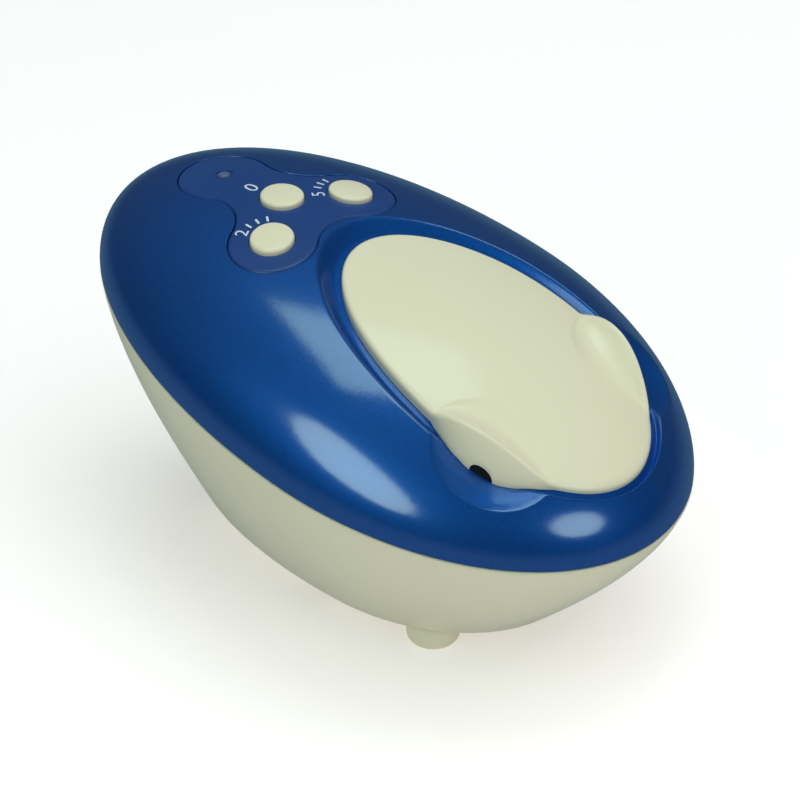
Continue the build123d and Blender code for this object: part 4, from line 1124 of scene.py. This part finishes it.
def makeWorld():
    # brighter towards one side; mirrored directions that point down meet a pale colour
    world = bpy.data.worlds.new("studioWorld")
    bpy.context.scene.world = world
    world.use_nodes = True
    tree = world.node_tree
    heading = addNode(tree, "TexCoord").outputs["Generated"]
    side = addNode(tree, "VectorMath", {0: heading, 1: stage["brightSide"]}, "DOT_PRODUCT").outputs["Value"]
    up = addNode(tree, "SeparateXYZ", {0: heading}).outputs["Z"]
    sky = mixNode(tree, side, stage["dark"], stage["bright"])
    under = rangeNode(tree, up, 0.0, 1.0, stage["belowFrom"], stage["belowTo"])
    fill(tree, tree.nodes["Background"], {"Color": mixNode(tree, under, sky, stage["below"])})


makeFloor()
makeWorld()

view = {"azimuth": -49.3, "elevation": 34.44, "distance": 833.9, "target": (0.0, -10.0, 50.37), "lens": 171.3,
        "right": 4.9, "up": 3.8}


def towards(azimuth, elevation):
    # unit vector at an angle from x, in degrees, and at an angle above level
    turn, lean = math.radians(azimuth), math.radians(elevation)
    return Vector((math.cos(turn) * math.cos(lean), math.sin(turn) * math.cos(lean), math.sin(lean)))


def makeCamera():
    backward, rightward = towards(view["azimuth"] - 90, view["elevation"]), towards(view["azimuth"], 0)
    upward = backward.cross(rightward)
    aim = Vector(view["target"]) - rightward * view["right"] - upward * view["up"]
    camera = linked("camera", bpy.data.cameras.new("camera"))
    camera.data.lens = view["lens"]
    camera.data.sensor_width = 36.0
    camera.data.clip_start = 0.01
    camera.data.clip_end = 20.0
    turn = Matrix((rightward, upward, backward)).transposed().to_4x4()
    camera.matrix_world = Matrix.Translation((aim + backward * view["distance"]) * mm) @ turn
    bpy.context.scene.camera = camera


makeCamera()

# a lamp overhead, one on the left, one in front on the right, and a fill that isn't mirrored;
# each turns about its own axis by the roll, in degrees, and sizes and distances are in metres
lampDistance = 1.2
lampTarget = Vector((0, 0, 0.06))
lamps = {
    "topBox": {"azimuth": 37.0, "elevation": 79.5, "shape": "RECTANGLE", "size": (0.69, 0.47), "power": 1.65,
               "roll": 8.0, "colour": (0.65, 1.0, 0.88), "mirrored": True},
    "leftBox": {"azimuth": 182.5, "elevation": 39.0, "shape": "ELLIPSE", "size": (0.54, 1.0), "power": 3.0,
                "roll": 44.0, "colour": (0.73, 1.0, 0.85), "mirrored": True},
    "frontBox": {"azimuth": -89.0, "elevation": 27.0, "shape": "ELLIPSE", "size": (0.52, 0.42), "power": 1.1,
                 "roll": 0.0, "colour": (0.73, 1.0, 0.94), "mirrored": True},
    "fillBox": {"azimuth": -70.0, "elevation": 78.0, "shape": "RECTANGLE", "size": (1.6, 1.6), "power": 12.8,
                "roll": 0.0, "colour": (0.98, 1.0, 1.0), "mirrored": False},
}


def makeLamp(name, values):
    lamp = bpy.data.lights.new(name, "AREA")
    lamp.shape = values["shape"]
    lamp.size, lamp.size_y = values["size"]
    lamp.energy = values["power"]
    lamp.color = values["colour"]
    place = towards(values["azimuth"], values["elevation"]) * lampDistance
    facing = (place - lampTarget).to_track_quat("Z", "Y").to_matrix().to_4x4()
    roll = Matrix.Rotation(math.radians(values["roll"]), 4, "Z")
    box = linked(name, lamp)
    box.matrix_world = Matrix.Translation(place) @ facing @ roll
    box.visible_glossy = values["mirrored"]


for name, values in lamps.items():
    makeLamp(name, values)
print("stage set")

bpy.context.scene.view_settings.view_transform = "Standard"
